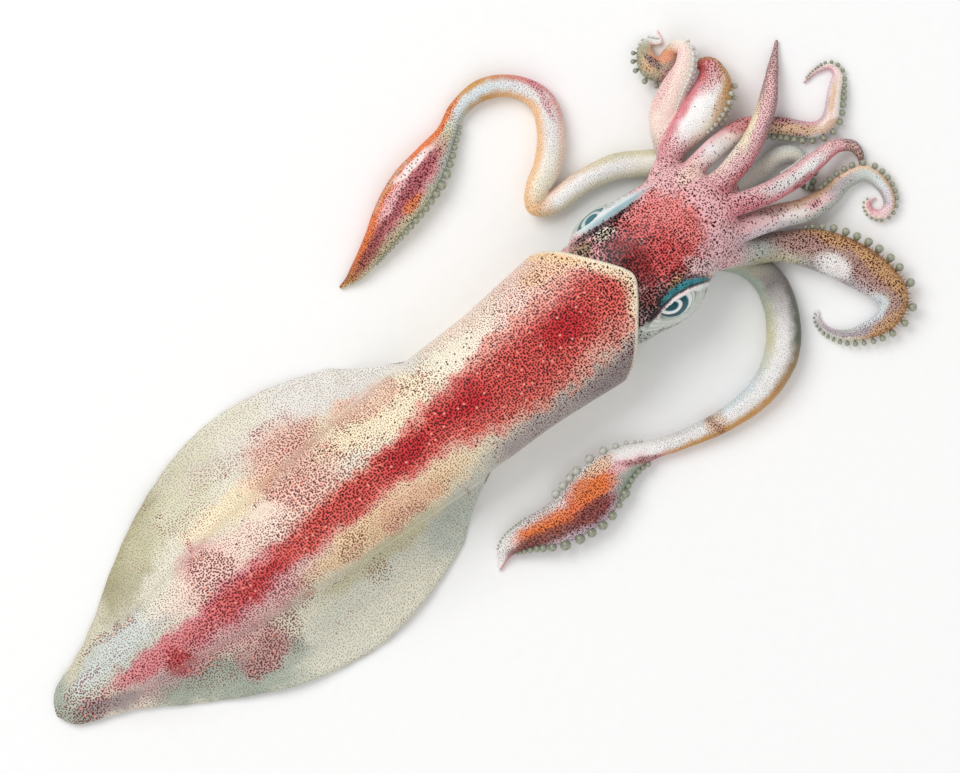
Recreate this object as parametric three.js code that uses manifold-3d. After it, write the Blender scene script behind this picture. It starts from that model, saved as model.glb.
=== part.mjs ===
// Whole raw squid lying belly down: mantle with its fins, head with eight arms, two tentacles, two eyes.
// Millimetres. +X runs from the tail to the arm tips, +Y to the animal's left, +Z up from the table.
import * as THREE from "three";
import { LoftGeometry } from "three/addons/geometries/LoftGeometry.js";
import { mergeVertices } from "three/addons/utils/BufferGeometryUtils.js";
import Module from "manifold-3d";

const wasm = await Module();
wasm.setup();

// Driving dimensions
const mantleLength = 215; // tail point to the apex of the rim's dorsal lobe
const mantleHalfWidth = 23.4; // of the tube at its side corners
const mantleHeight = 34;
const finEnd = 150; // distance from the tail point where the fins run out
const rimSlope = 0.8; // how fast the rim falls back on each side of the lobe
const cornerDrop = 3.2; // how much further it falls back at the tube's side corners
const lobeRound = 3;
const funnelNotch = 3; // how far the rim falls back over the funnel
const bellyPress = 0.05; // share of the tube's half-height that the table flattens
const tailHeight = 2.2; // of the middle of the tail's tip above the table
const wall = 2.3; // of the mantle at its rim
const recessFloor = 188; // distance from the tail point where the recess round the neck ends
const fitGap = 0.3; // between pieces that touch
const finRoot = 4.4; // thickness of a fin at the tube
const finEdge = 1.7; // thickness of a fin near its edge
const headRoll = THREE.MathUtils.degToRad(14); // the right eye turns up, the left one down
const eyeTilt = THREE.MathUtils.degToRad(31); // of both eyes above the head's own level
const leftEyeAt = 216; // distance of the eyes' middles from the tail point
const rightEyeAt = 221.5;
const headStart = 191; // where the neck ends inside the mantle
const headEnd = 252;
const mouthRadius = 6;
const eyeRadius = 7;
const eyeDepth = 3.7; // half the eye's thickness along its axis
const eyeSink = 1.6; // how deep the eye's middle lies under the head's skin
const lidRadius = 9.6; // of the bulge round an eye
const lidDepth = 3.2;
const limbSteps = 2; // rings between two stations of a limb
const rowSteps = 400; // places along a limb where a sucker may start

const tau = 2 * Math.PI;
const lerp = THREE.MathUtils.lerp;

// A piecewise smooth function of one number, through the given [input, value, value...] rows.
function through(rows) {
  return (at) => {
    let i = rows.findIndex((row) => row[0] >= at);
    i = i < 0 ? rows.length - 1 : Math.max(i, 1);
    const [before, after] = [rows[i - 1], rows[i]];
    const share = THREE.MathUtils.clamp((at - before[0]) / (after[0] - before[0]), 0, 1);
    return before.slice(1).map((value, k) => {
      const far = rows[Math.min(i + 1, rows.length - 1)][k + 1];
      const near = rows[Math.max(i - 2, 0)][k + 1];
      const rise = (after[k + 1] - near) / 2;
      const fall = (far - value) / 2;
      const s2 = share * share;
      const s3 = s2 * share;
      return (
        (2 * s3 - 3 * s2 + 1) * value +
        (s3 - 2 * s2 + share) * rise +
        (3 * s2 - 2 * s3) * after[k + 1] +
        (s3 - s2) * fall
      );
    });
  };
}

// A closed position-only geometry as a solid that can be joined and cut.
function toSolid(geometry) {
  const bare = new THREE.BufferGeometry();
  bare.setAttribute("position", geometry.getAttribute("position"));
  bare.setIndex(geometry.index);
  const merged = mergeVertices(bare, 1e-4);
  const corners = Array.from(merged.index.array);
  const kept = [];
  for (let i = 0; i < corners.length; i += 3) {
    const [a, b, c] = corners.slice(i, i + 3);
    if (a !== b && b !== c && c !== a) kept.push(a, b, c);
  }
  return new wasm.Manifold(
    new wasm.Mesh({
      numProp: 3,
      vertProperties: merged.attributes.position.array,
      triVerts: new Uint32Array(kept),
    }),
  );
}

// A solid back as a mesh with its own name and material.
function toMesh(solid, name, look) {
  const result = solid.getMesh();
  const places = new Float32Array(result.numVert * 3);
  for (let i = 0; i < result.numVert; i++) {
    const start = i * result.numProp;
    places.set(result.vertProperties.subarray(start, start + 3), i * 3);
  }
  const geometry = new THREE.BufferGeometry();
  geometry.setAttribute("position", new THREE.BufferAttribute(places, 3));
  geometry.setIndex(new THREE.BufferAttribute(result.triVerts, 1));
  geometry.computeVertexNormals();
  const mesh = new THREE.Mesh(geometry, new THREE.MeshStandardMaterial(look));
  mesh.name = name;
  return mesh;
}

const joined = (solids) => wasm.Manifold.union(solids);
// The largest closed surface of a solid, which leaves out sealed hollows and loose scraps.
const largest = (solid) => solid.decompose().reduce((a, b) => (b.volume() > a.volume() ? b : a));
const lofted = (sections) => toSolid(new LoftGeometry(sections, { capStart: true, capEnd: true }));
const squarer = (value, power) => Math.sign(value) * Math.abs(value) ** power;

// Mantle

// Half-width and height of the tube, as shares of the greatest, which tapers to the tail.
const tubeShares = through([
  [-0.0116, 0.02, 0.05],
  [0.03, 0.21, 0.19],
  [0.16, 0.47, 0.48],
  [0.36, 0.7, 0.76],
  [0.54, 0.82, 0.92],
  [0.7, 0.89, 0.99],
  [0.8, 0.915, 1],
  [0.86, 0.965, 1],
  [0.91, 1, 1],
]);
const tubeStart = -0.0116 * mantleLength;
const tubeEnd = 0.91 * mantleLength;

function tubeSize(x) {
  const [width, height] = tubeShares(x / mantleLength);
  return [mantleHalfWidth * width, mantleHeight * height];
}

// Where the rim lies at a sideways distance from the midline: the dorsal lobe is a rounded chevron with
// rounded corners, and the belly side is nearly straight with a shallow notch for the funnel.
function rimPlace(y, upper) {
  const back = (side) => {
    const corner = cornerDrop * (Math.abs(side) / mantleHalfWidth) ** 10;
    return mantleLength - rimSlope * (Math.hypot(side, lobeRound) - lobeRound) - corner;
  };
  const notch = funnelNotch * Math.cos((y / mantleHalfWidth) * Math.PI * 0.5) ** 4;
  return upper ? back(y) : back(mantleHalfWidth) - notch;
}

// One ring of the tube. Past the fins its points slide forward, so that the last ring is the rim.
function tubeRing(x, sides, reach, shrink) {
  const [halfWidth, height] = tubeSize(x);
  const [a, b] = [halfWidth - shrink, height / 2 - shrink];
  const middle = Math.max((height / 2) * (1 - bellyPress), tailHeight);
  return Array.from({ length: sides }, (_, k) => {
    const angle = (tau * k) / sides;
    const y = a * squarer(Math.cos(angle), 0.92);
    const z = middle + b * squarer(Math.sin(angle), 0.92);
    const slide = lerp(finEnd, rimPlace(y, Math.sin(angle) > -1e-6), reach);
    return new THREE.Vector3(reach > 0 ? slide : x, y, Math.max(z, 0));
  });
}

function mantleTube(sides = 24, stations = 10, rimStations = 5) {
  const rings = [];
  for (let i = 0; i < stations; i++) {
    rings.push(tubeRing(lerp(tubeStart, finEnd, (i / stations) ** 1.4), sides, 0, 0));
  }
  for (let i = 0; i <= rimStations; i++) {
    const reach = i / rimStations;
    const x = lerp(finEnd, tubeEnd, reach);
    rings.push(tubeRing(x, sides, Math.max(reach * 0.985, 1e-6), 0));
  }
  rings.push(tubeRing(tubeEnd, sides, 1, 0.8));
  return lofted(rings);
}

const finSpan = through([
  [-2.3, 1.2],
  [0, 5.1],
  [5, 8.1],
  [12, 10.6],
  [20, 14.3],
  [32, 22],
  [46, 29.9],
  [60, 36.4],
  [76, 41],
  [90, 42.4],
  [104, 40.5],
  [115, 37.4],
  [126, 33.4],
  [132, 28.6],
  [138, 24.6],
  [144, 21.9],
  [finEnd, 19],
]);

// Height of the fins' middle sheet at a share of the way from the tube's flank to the fin's edge: it
// leaves the tube high near the tail and lower forward, and settles on the table in slight waves as
// far as its width lets it drop.
function finHeight(x, out) {
  const [halfWidth, height] = tubeSize(x);
  const rest = 1.8 + 0.7 * Math.sin(x / 7.5) * Math.min(1, x / 30);
  const top = Math.max(rest, lerp(0.62, 0.3, x / finEnd) * height);
  const drop = Math.min(top - rest, Math.max(finSpan(x)[0] - halfWidth, 0));
  return top - drop * (0.5 - 0.5 * Math.cos(Math.PI * out ** 0.8));
}

// Both fins as one sheet through the tube, thin at its edges.
function fins(stations = 16, across = 6) {
  const rings = [];
  for (let i = 0; i <= stations; i++) {
    const x = lerp(-2.3, finEnd, (i / stations) ** 1.25);
    const [span] = finSpan(x);
    const flank = Math.min(0.55 * tubeSize(x)[0], 0.9 * span);
    const strip = (side) =>
      Array.from({ length: 2 * across + 1 }, (_, k) => {
        const from = side * (across - k);
        const out = Math.max(Math.abs(from) - 1, 0) / (across - 1);
        const y = Math.sign(from) * lerp(flank, span, out ** 0.9);
        const half = (lerp(finRoot, finEdge, out) / 2) * Math.min(1, span / 6);
        return new THREE.Vector3(x, y, finHeight(x, out) + side * (out === 1 ? 0 : half));
      });
    rings.push([...strip(1).slice(0, -1), ...strip(-1).slice(0, -1)]);
  }
  return lofted(rings);
}

// The recess that the neck stands in, as wide as the tube less its wall.
function neckRecess(sides = 20) {
  const [halfWidth, height] = tubeSize(tubeEnd);
  const ring = (x, shrink) =>
    Array.from({ length: sides }, (_, k) => {
      const angle = (tau * k) / sides;
      const y = (halfWidth - wall - shrink) * Math.cos(angle);
      const z = height / 2 + (height / 2 - wall - shrink) * Math.sin(angle);
      return new THREE.Vector3(x, y, z);
    });
  return lofted([ring(recessFloor, 3), ring(recessFloor + 3, 0.6), ring(mantleLength + 20, 0)]);
}

// Limbs: each station is [x, y, height of the middle, width]

const leftArms = [
  [
    [244, 7, 26, 7.2],
    [254, 6.5, 22.5, 7.2],
    [261, 7.7, 18, 7.4],
    [270, 10.8, 11.4, 6.6],
    [279, 16.5, 7, 6],
    [286, 23, 3.8, 3.8],
    [293, 29.8, 1, 0.9],
  ],
  [
    [245, 14, 21.5, 5.6],
    [254, 15, 16.5, 6.6],
    [262, 15.4, 10, 6.8],
    [270, 14.6, 4.4, 6.2],
    [278, 9, 2.8, 5.6],
    [286, 1.4, 2.5, 5.1],
    [291, 1.2, 2.5, 5.1],
    [298, 7.4, 2.2, 4.5],
    [301.6, 11, 1.6, 3],
    [301.2, 14, 1.2, 2],
    [297, 15.2, 1, 1.3],
    [292, 14.8, 0.8, 0.6],
  ],
  [
    [240, 18.5, 17, 5.6],
    [247, 22.3, 13, 7.4],
    [255, 25, 10, 11],
    [263, 27, 8.6, 12.8],
    [269, 30, 8, 11.6],
    [272, 35, 7, 7],
    [271.2, 37, 5, 5],
    [270.6, 32.5, 2.6, 3.4],
    [268.6, 24.5, 1.2, 1],
  ],
  [
    [245, 18, 10, 6],
    [248, 26, 8.4, 8],
    [252, 32.5, 8, 8.8],
    [259, 37, 9.6, 8],
    [266, 40.5, 10.8, 6.2],
    [269.2, 44.4, 9.5, 4.8],
    [267.6, 46.4, 6.2, 4.6],
    [265, 45.3, 3.4, 6.2],
    [260.4, 43.7, 3.7, 7.2],
    [258.1, 46.7, 3.7, 7.2],
    [259, 50.6, 2.8, 5.4],
    [261.8, 53.2, 1.7, 2.8],
    [265, 51, 1.2, 1.6],
    [266.4, 54, 0.8, 0.6],
  ],
];

const rightArms = [
  [
    [245, 0.6, 26, 6.6],
    [252, -1.8, 24, 6.6],
    [262, -4.8, 18.6, 6.6],
    [272, -6.2, 12.6, 6.4],
    [281, -6, 7.8, 5.6],
    [288, -6.2, 4.8, 4.2],
    [292, -9.4, 3.2, 3.5],
    [292, -13, 1.9, 2.4],
    [290.3, -15.4, 0.9, 0.9],
  ],
  [
    [240, -5.5, 22, 7.8],
    [249, -8.6, 18, 7.8],
    [260, -12, 12, 7.6],
    [268, -15.4, 7.6, 7.4],
    [276, -17, 4.2, 6.7],
    [284, -16.2, 2.8, 5.4],
    [290, -18, 2.6, 5],
    [292, -24, 2.3, 4.4],
    [290.4, -29.6, 2, 3.8],
    [287, -31, 1.8, 3.3],
    [284.4, -28.6, 1.5, 2.6],
    [285, -25.6, 1.1, 1.8],
    [288, -25.9, 0.8, 0.6],
  ],
  [
    [240, -11.5, 15, 7.2],
    [248, -15.6, 10.4, 8.4],
    [256, -20, 6.6, 9.4],
    [264, -27, 4.9, 12.4],
    [270, -36.5, 4.8, 13.3],
    [273.4, -45.5, 4.6, 12],
    [274, -52.5, 4, 9.6],
    [270, -56.4, 3.2, 7.4],
    [262, -56, 2.4, 5.4],
    [255.6, -53, 1.7, 3.2],
    [252.2, -48, 1.2, 2.1],
    [252.2, -44, 1, 1.5],
    [253.7, -42.5, 0.8, 0.6],
  ],
  [
    [246, 0.7, 9, 6],
    [255, 0.6, 5.5, 6.3],
    [264, 1.4, 3.6, 6.6],
    [272, 1.9, 3, 6.2],
    [276.5, -1, 2.6, 5.2],
    [276.5, -7, 2, 3.6],
    [273.3, -11, 1.1, 1.2],
  ],
];

const leftTentacle = [
  [247, 19.5, 6.5, 7],
  [240, 24, 4.4, 8.2],
  [231, 29.3, 3.9, 8],
  [220, 31.7, 3.7, 7.2],
  [210, 32, 3.8, 7.2],
  [205.6, 34.5, 4.8, 6.6],
  [208.4, 38.2, 6, 7],
  [215, 41.6, 4.9, 8.5],
  [222, 48.8, 4.1, 8.5],
  [225.7, 58, 3.8, 8],
  [222, 66.6, 3.5, 6.9],
  [214, 71.8, 3.4, 6.8],
  [204, 71.6, 3, 5.7],
  [197.5, 68.2, 3, 6.2],
  [190, 65, 3.7, 10.4],
  [180, 61.7, 4, 13.8],
  [170, 58.4, 4, 12.4],
  [160, 54.4, 3.3, 8.4],
  [150, 51, 2.1, 4.8],
  [144, 50.5, 1, 1.4],
];

const rightTentacle = [
  [240, -12, 8, 7.6],
  [245, -18, 5.2, 8.4],
  [247.2, -26, 4.5, 9.6],
  [244.5, -36, 4.7, 10.3],
  [237, -45.8, 4.7, 10.4],
  [226, -51, 4.2, 8.8],
  [212, -51.4, 3.5, 7],
  [197, -48.2, 3, 5.6],
  [188, -45, 3, 6.2],
  [181, -43, 3.5, 9.4],
  [173, -43.2, 4.1, 14],
  [164.5, -45.4, 4.2, 16.6],
  [153.5, -45.6, 4, 13.4],
  [143.5, -42.7, 3.3, 9.2],
  [136, -42.2, 2.4, 5.8],
  [130.4, -45.7, 1, 1.4],
];

// Middle, directions and half sizes at a share of a limb's stations. The sideways direction is carried
// along the limb and eased level, so that a fold turns the limb over instead of twisting it.
function frames(stations, steps) {
  const place = (s) => new THREE.Vector3(s[0], s[1], s[2]);
  const spine = new THREE.CatmullRomCurve3(stations.map(place), false, "centripetal");
  const last = stations.length - 1;
  const widthAt = through(stations.map((s, i) => [i / last, s[3]]));
  let side = null;
  return Array.from({ length: steps + 1 }, (_, i) => {
    const share = i / steps;
    const middle = spine.getPoint(share);
    const ahead = spine.getTangent(share);
    const level = new THREE.Vector3(-ahead.y, ahead.x, 0);
    if (side === null) side = level.clone();
    if (level.dot(side) < 0) level.negate();
    side = side.clone().addScaledVector(level, 0.8);
    side.addScaledVector(ahead, -side.dot(ahead)).normalize();
    const up = new THREE.Vector3().crossVectors(ahead, side);
    const halfWidth = Math.max(widthAt(share)[0], 0.6) / 2;
    const halfHeight = Math.min(0.94 * halfWidth, Math.max(middle.z, 0.3));
    return { middle, ahead, side, up, halfWidth, halfHeight };
  });
}

// A limb as rounded rings along its frames. Swelling it by a gap makes the cutter that clears it.
function limb(stations, sides = 8, swell = 0) {
  const rings = frames(stations, limbSteps * (stations.length - 1)).map((f) =>
    Array.from({ length: sides }, (_, k) => {
      const angle = (tau * (k + 0.5)) / sides;
      const across = (f.halfWidth + swell) * squarer(Math.cos(angle), 0.85);
      const above = (f.halfHeight + swell) * squarer(Math.sin(angle), 0.85);
      return f.middle.clone().addScaledVector(f.side, across).addScaledVector(f.up, above);
    }),
  );
  return lofted(rings);
}

// A sucker: a stalk that widens to a rounded cup.
function sucker(place, direction, radius, sides = 5) {
  const profile = [
    [0, -2.6],
    [1, -0.2],
    [0.72, 0.6],
    [0, 0.4],
  ].map(([across, along]) => new THREE.Vector2(across * radius, along * radius));
  const cup = new THREE.LatheGeometry(profile, sides);
  const turn = new THREE.Quaternion().setFromUnitVectors(new THREE.Vector3(0, 1, 0), direction);
  cup.applyQuaternion(turn);
  cup.translate(place.x, place.y, place.z);
  return toSolid(cup);
}

// A row of suckers on one edge of a limb (hand 1 is the side to the left of its way, -1 the right),
// between two shares of its stations, each as far from the last as its size asks.
function suckerRow(stations, { hand, from, to, size, pitch = 2.35, lift = 20, stalk = 1.5 }) {
  const all = frames(stations, rowSteps);
  const rise = THREE.MathUtils.degToRad(lift);
  const row = [];
  let travelled = 0;
  let next = 0;
  for (let i = Math.round(from * rowSteps); i <= to * rowSteps; i++) {
    const f = all[i];
    if (i > 0) travelled += f.middle.distanceTo(all[i - 1].middle);
    if (travelled < next) continue;
    const radius = Math.max(0.55, size * Math.min(1, f.halfWidth / 2.6));
    const out = f.side.clone().multiplyScalar(hand * Math.cos(rise));
    out.addScaledVector(f.up, Math.sign(f.up.z) * Math.sin(rise)).normalize();
    const place = f.middle.clone();
    place.addScaledVector(f.side, hand * f.halfWidth * 0.9);
    place.addScaledVector(out, radius * stalk);
    place.z = Math.max(place.z, radius * 1.05);
    row.push(sucker(place, out, radius));
    next = travelled + radius * pitch;
  }
  return row;
}

// Head

const headSize = through([
  // x, sideways middle, half-width, middle height, half-height
  [headStart, 1, 16.4, 16.5, 12.8],
  [200, 1.5, 17, 16.5, 13.2],
  [206, 0.8, 18.6, 16.5, 13.9],
  [212, 0.9, 19.6, 16.3, 14.5],
  [219, 0.6, 20.5, 16, 15],
  [227, 1, 19.8, 16, 15],
  [234, 2.6, 17.4, 16, 14.8],
  [242, 3.5, 16.6, 16, 14.4],
  [247, 3.4, 13.6, 16, 12.6],
  [250, 3.4, 10, 16, 9.6],
  [headEnd, 3.4, 5, 16, 5],
]);

function headCore(sides = 20, stations = 13) {
  const rings = [];
  for (let i = 0; i <= stations; i++) {
    const x = lerp(headStart, headEnd, i / stations);
    const [middle, halfWidth, height, halfHeight] = headSize(x);
    rings.push(
      Array.from({ length: sides }, (_, k) => {
        const angle = (tau * k) / sides;
        const y = middle + halfWidth * squarer(Math.cos(angle), 0.95);
        const z = height + halfHeight * squarer(Math.sin(angle), 0.95);
        return new THREE.Vector3(x, y, Math.max(z, 0.4));
      }),
    );
  }
  return lofted(rings);
}

// Middle and outward direction of an eye. The two lie opposite each other on a line rolled with the head.
function eyeSeat(hand, x) {
  const [middle, halfWidth, height, halfHeight] = headSize(x);
  const angle = hand > 0 ? eyeTilt - headRoll : Math.PI - eyeTilt - headRoll;
  const out = new THREE.Vector3(0, Math.cos(angle), Math.sin(angle));
  const y = middle + (halfWidth - eyeSink) * out.y;
  const z = height + (halfHeight - eyeSink) * out.z;
  return { place: new THREE.Vector3(x, y, z), out };
}

const leftEye = eyeSeat(1, leftEyeAt);
const rightEye = eyeSeat(-1, rightEyeAt);

// A flattened ball square to an outward direction.
function lens({ place, out }, radius, depth) {
  const ball = new THREE.SphereGeometry(1, 14, 8);
  ball.scale(radius, depth, radius);
  ball.applyQuaternion(new THREE.Quaternion().setFromUnitVectors(new THREE.Vector3(0, 1, 0), out));
  ball.translate(place.x, place.y, place.z);
  return toSolid(ball);
}

// The funnel under the neck, a short tube that opens forwards.
function funnel(sides = 12) {
  const ring = (x, radius, height) =>
    Array.from({ length: sides }, (_, k) => {
      const angle = (tau * k) / sides;
      const z = height + radius * 0.72 * Math.sin(angle);
      return new THREE.Vector3(x, 1.5 + radius * Math.cos(angle), z);
    });
  const tube = lofted([ring(192, 7, 9.6), ring(203, 7, 7.6), ring(215, 5.4, 4.8), ring(221, 4.6, 4)]);
  return tube.subtract(lofted([ring(214, 2.6, 4.6), ring(223, 3.4, 4)]));
}

function mouth() {
  const [middle, , height] = headSize(headEnd);
  const lump = new THREE.SphereGeometry(mouthRadius, 12, 8);
  lump.translate(headEnd - 2, middle, height - 1);
  return toSolid(lump);
}

const armSuckers = [
  ...suckerRow(leftArms[1], { hand: -1, from: 0.3, to: 0.97, size: 1.1 }),
  ...suckerRow(leftArms[2], { hand: -1, from: 0.28, to: 0.5, size: 1.25 }),
  ...suckerRow(leftArms[3], { hand: -1, from: 0.14, to: 0.36, size: 1.1 }),
  ...suckerRow(leftArms[3], { hand: 1, from: 0.56, to: 0.86, size: 1 }),
  ...suckerRow(rightArms[0], { hand: 1, from: 0.62, to: 0.95, size: 1 }),
  ...suckerRow(rightArms[1], { hand: 1, from: 0.3, to: 0.95, size: 1.15 }),
  ...suckerRow(rightArms[2], { hand: 1, from: 0.17, to: 0.9, size: 1.6, stalk: 2.2 }),
  ...suckerRow(rightArms[3], { hand: 1, from: 0.4, to: 0.75, size: 1 }),
];

function headWithArms() {
  const arms = [...leftArms, ...rightArms].map((stations) => limb(stations));
  const bulges = [leftEye, rightEye].map((seat) => lens(seat, lidRadius, lidDepth));
  const flesh = joined([headCore(), funnel(), mouth(), ...bulges, ...arms, ...armSuckers]);
  const sockets = [leftEye, rightEye].map((seat) => lens(seat, eyeRadius + fitGap, eyeDepth + fitGap));
  const pockets = [leftTentacle, rightTentacle].map((stations) => limb(stations, 8, fitGap));
  return largest(flesh.subtract(joined([...sockets, ...pockets])));
}

function tentacle(stations, rows) {
  return largest(joined([limb(stations), ...rows.flatMap((row) => suckerRow(stations, row))]));
}

// Scene graph

const leftClubRows = [{ hand: 1, from: 0.64, to: 0.96, size: 1.3 }];
const rightClubRows = [
  { hand: 1, from: 0.56, to: 0.96, size: 1.5 },
  { hand: -1, from: 0.56, to: 0.9, size: 1.5 },
];
const mantle = largest(joined([mantleTube(), fins()]).subtract(neckRecess()));
const mantleLook = { color: 0xc98f86, roughness: 0.35, metalness: 0 };
const headLook = { color: 0xc47f76, roughness: 0.35, metalness: 0 };
const tentacleLook = { color: 0xe0b094, roughness: 0.35, metalness: 0 };
const eyeLook = { color: 0x3f7f86, roughness: 0.1, metalness: 0 };

const squid = new THREE.Group();
squid.add(
  toMesh(mantle, "mantle", mantleLook),
  toMesh(headWithArms(), "head_with_arms", headLook),
  toMesh(tentacle(leftTentacle, leftClubRows), "tentacle_left", tentacleLook),
  toMesh(tentacle(rightTentacle, rightClubRows), "tentacle_right", tentacleLook),
  toMesh(lens(leftEye, eyeRadius, eyeDepth), "eye_left", eyeLook),
  toMesh(lens(rightEye, eyeRadius, eyeDepth), "eye_right", eyeLook),
);

// The origin is under the middle of the whole, on the table.
const box = new THREE.Box3().setFromObject(squid);
const middle = box.getCenter(new THREE.Vector3());
squid.position.set(-middle.x, -middle.y, -box.min.z);

export default squid;
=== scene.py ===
import math

import bpy
import numpy as np
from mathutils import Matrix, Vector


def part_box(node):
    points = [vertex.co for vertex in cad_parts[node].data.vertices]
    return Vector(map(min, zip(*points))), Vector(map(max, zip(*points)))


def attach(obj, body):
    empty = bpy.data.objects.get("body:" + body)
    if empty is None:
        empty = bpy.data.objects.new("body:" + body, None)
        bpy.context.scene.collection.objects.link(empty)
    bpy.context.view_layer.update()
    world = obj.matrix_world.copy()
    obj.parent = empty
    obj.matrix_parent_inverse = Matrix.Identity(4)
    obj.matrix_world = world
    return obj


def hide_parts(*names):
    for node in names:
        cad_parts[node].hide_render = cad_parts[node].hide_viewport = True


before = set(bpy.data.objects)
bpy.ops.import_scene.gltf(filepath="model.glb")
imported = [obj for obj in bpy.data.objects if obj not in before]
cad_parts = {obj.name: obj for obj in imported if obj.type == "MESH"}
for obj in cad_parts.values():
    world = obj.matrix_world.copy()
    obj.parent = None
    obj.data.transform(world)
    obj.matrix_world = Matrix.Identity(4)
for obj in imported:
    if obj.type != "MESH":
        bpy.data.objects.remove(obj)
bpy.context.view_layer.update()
print("frame loaded")

# Every shape is worked out in millimetres from the tail's point: X towards the arm tips, Y to the
# animal's left, Z up from the table. The last step moves it to the frame and to metres.
tailReach = 2.494  # how far the mantle's node reaches behind the tail's point
mantleLow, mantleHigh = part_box("mantle")
tailPoint = np.array([mantleLow.x * 1000 + tailReach, (mantleLow.y + mantleHigh.y) * 500, 0.0])


def smoothStep(low, high, value):
    # 3t^2 - 2t^3 of the value's share of the way from low to high
    t = np.clip((value - low) / (high - low), 0, 1)
    return t * t * (3 - 2 * t)


def softMax(a, b, width):
    # the larger of two heights, with a round fillet where they differ by less than the width
    return np.maximum(a, b) + np.maximum(width - np.abs(a - b), 0) ** 2 / (4 * width)


def softMin(a, b, width):
    # the smaller of two heights, rounded in the same way
    return -softMax(-a, -b, width)


def lerp(a, b, share):
    # straight line from a to b
    return a + np.subtract(b, a) * share


def unit(vectors):
    # each vector divided by its own length
    return vectors / np.maximum(np.linalg.norm(vectors, axis=-1, keepdims=True), 1e-9)


def through(rows, at):
    # piecewise cubic through the rows' values, whose slope at a row is half the step between its neighbours
    rows = np.asarray(rows, float)
    at = np.asarray(at, float)
    i = np.clip(np.searchsorted(rows[:, 0], at), 1, len(rows) - 1)
    before = rows[i - 1]
    after = rows[i]
    t = np.clip((at - before[..., 0]) / (after[..., 0] - before[..., 0]), 0, 1)[..., None]
    rise = (after - rows[np.maximum(i - 2, 0)])[..., 1:] / 2
    fall = (rows[np.minimum(i + 1, len(rows) - 1)] - before)[..., 1:] / 2
    start = before[..., 1:]
    end = after[..., 1:]
    cubic = (2 * t**3 - 3 * t**2 + 1) * start + (t**3 - 2 * t**2 + t) * rise
    return cubic + (3 * t**2 - 2 * t**3) * end + (t**3 - t**2) * fall


def latticeNumber(cell, seed):
    # a whole-number hash of a lattice corner, as a share from 0 to 1
    key = cell[..., 0] * 73856093 ^ cell[..., 1] * 19349663 ^ cell[..., 2] * 83492791 ^ seed * 2654435
    key = (key ^ (key >> 13)) * 1274126177
    return ((key ^ (key >> 16)) & 65535) / 65535.0


def grain(points, size, seed):
    # value noise from -1 to 1: random numbers on a lattice, smoothly blended between its corners
    cell = np.asarray(points, float) / size + 100.5
    corner = np.floor(cell).astype(np.int64)
    t = cell - corner
    t = t * t * (3 - 2 * t)
    total = np.zeros(cell.shape[:-1])
    for index in range(8):
        step = np.array([index & 1, index >> 1 & 1, index >> 2])
        weight = np.prod(np.where(step > 0, t, 1 - t), axis=-1)
        total += weight * latticeNumber(corner + step, seed)
    return total * 2 - 1


def clouds(points, size, seed, layers=3):
    # grain at a size, its half, its quarter and so on, each half as strong as the one before
    total = 0
    for layer in range(layers):
        total = total + grain(points, size / 2**layer, seed + layer) / 2**layer
    return total / (2 - 2 ** (1 - layers))


def wandered(places, value, layers):
    # a value moved about by clouds, each row giving how far, their size, seed and layers
    for far, *cloud in layers:
        value = value + far * clouds(places, *cloud)
    return value


palette = {  # sRGB
    "crimson": (0.82, 0.20, 0.22), "deepRed": (0.36, 0.01, 0.04), "darkCrimson": (0.50, 0.04, 0.09),
    "darkRose": (0.60, 0.15, 0.20), "brownRose": (0.62, 0.30, 0.26), "coral": (0.92, 0.40, 0.36),
    "salmon": (0.94, 0.64, 0.57), "rose": (0.88, 0.50, 0.54), "maroon": (0.32, 0.03, 0.07),
    "darkRust": (0.50, 0.17, 0.11), "ink": (0.06, 0.01, 0.03), "blush": (0.98, 0.85, 0.79),
    "pink": (0.94, 0.73, 0.74), "lilac": (0.84, 0.76, 0.80), "greyLilac": (0.64, 0.61, 0.61),
    "shadow": (0.46, 0.43, 0.42), "mauve": (0.67, 0.49, 0.49), "brownMauve": (0.65, 0.48, 0.41),
    "greyMauve": (0.60, 0.54, 0.56), "whiteLilac": (0.92, 0.91, 0.90), "cream": (0.96, 0.93, 0.84),
    "yellowCream": (0.97, 0.90, 0.76), "apricot": (0.97, 0.78, 0.58), "orange": (0.93, 0.46, 0.10),
    "ochre": (0.80, 0.57, 0.24), "rust": (0.56, 0.27, 0.08), "olive": (0.58, 0.55, 0.36),
    "oliveCream": (0.82, 0.80, 0.66), "finCream": (0.90, 0.88, 0.80), "greyGreen": (0.62, 0.67, 0.61),
    "seaGrey": (0.74, 0.78, 0.74), "blueWhite": (0.85, 0.89, 0.90), "teal": (0.0, 0.36, 0.41),
    "lidTeal": (0.26, 0.58, 0.62), "deepTeal": (0.0, 0.20, 0.25), "white": (0.98, 0.97, 0.96),
    "pearl": (0.72, 0.73, 0.64), "pearlShade": (0.35, 0.38, 0.30),
}


def linear(colour):
    # sRGB to linear light: (c + 0.055) / 1.055 to the power 2.4, and c / 12.92 near black
    c = np.asarray(colour, float)
    return np.where(c <= 0.04045, c / 12.92, ((c + 0.055) / 1.055) ** 2.4)


def named(colour):
    # a palette colour in linear light
    return linear(palette[colour])


def over(ground, colour, cover):
    # the ground colour moved towards another by a share for each point
    return ground + (named(colour) - ground) * np.clip(cover, 0, 1)[..., None]


def layered(tone, *layers):
    # a colour under layers, each a palette colour and how much it covers
    for colour, cover in layers:
        tone = over(tone, colour, cover)
    return tone


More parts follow.
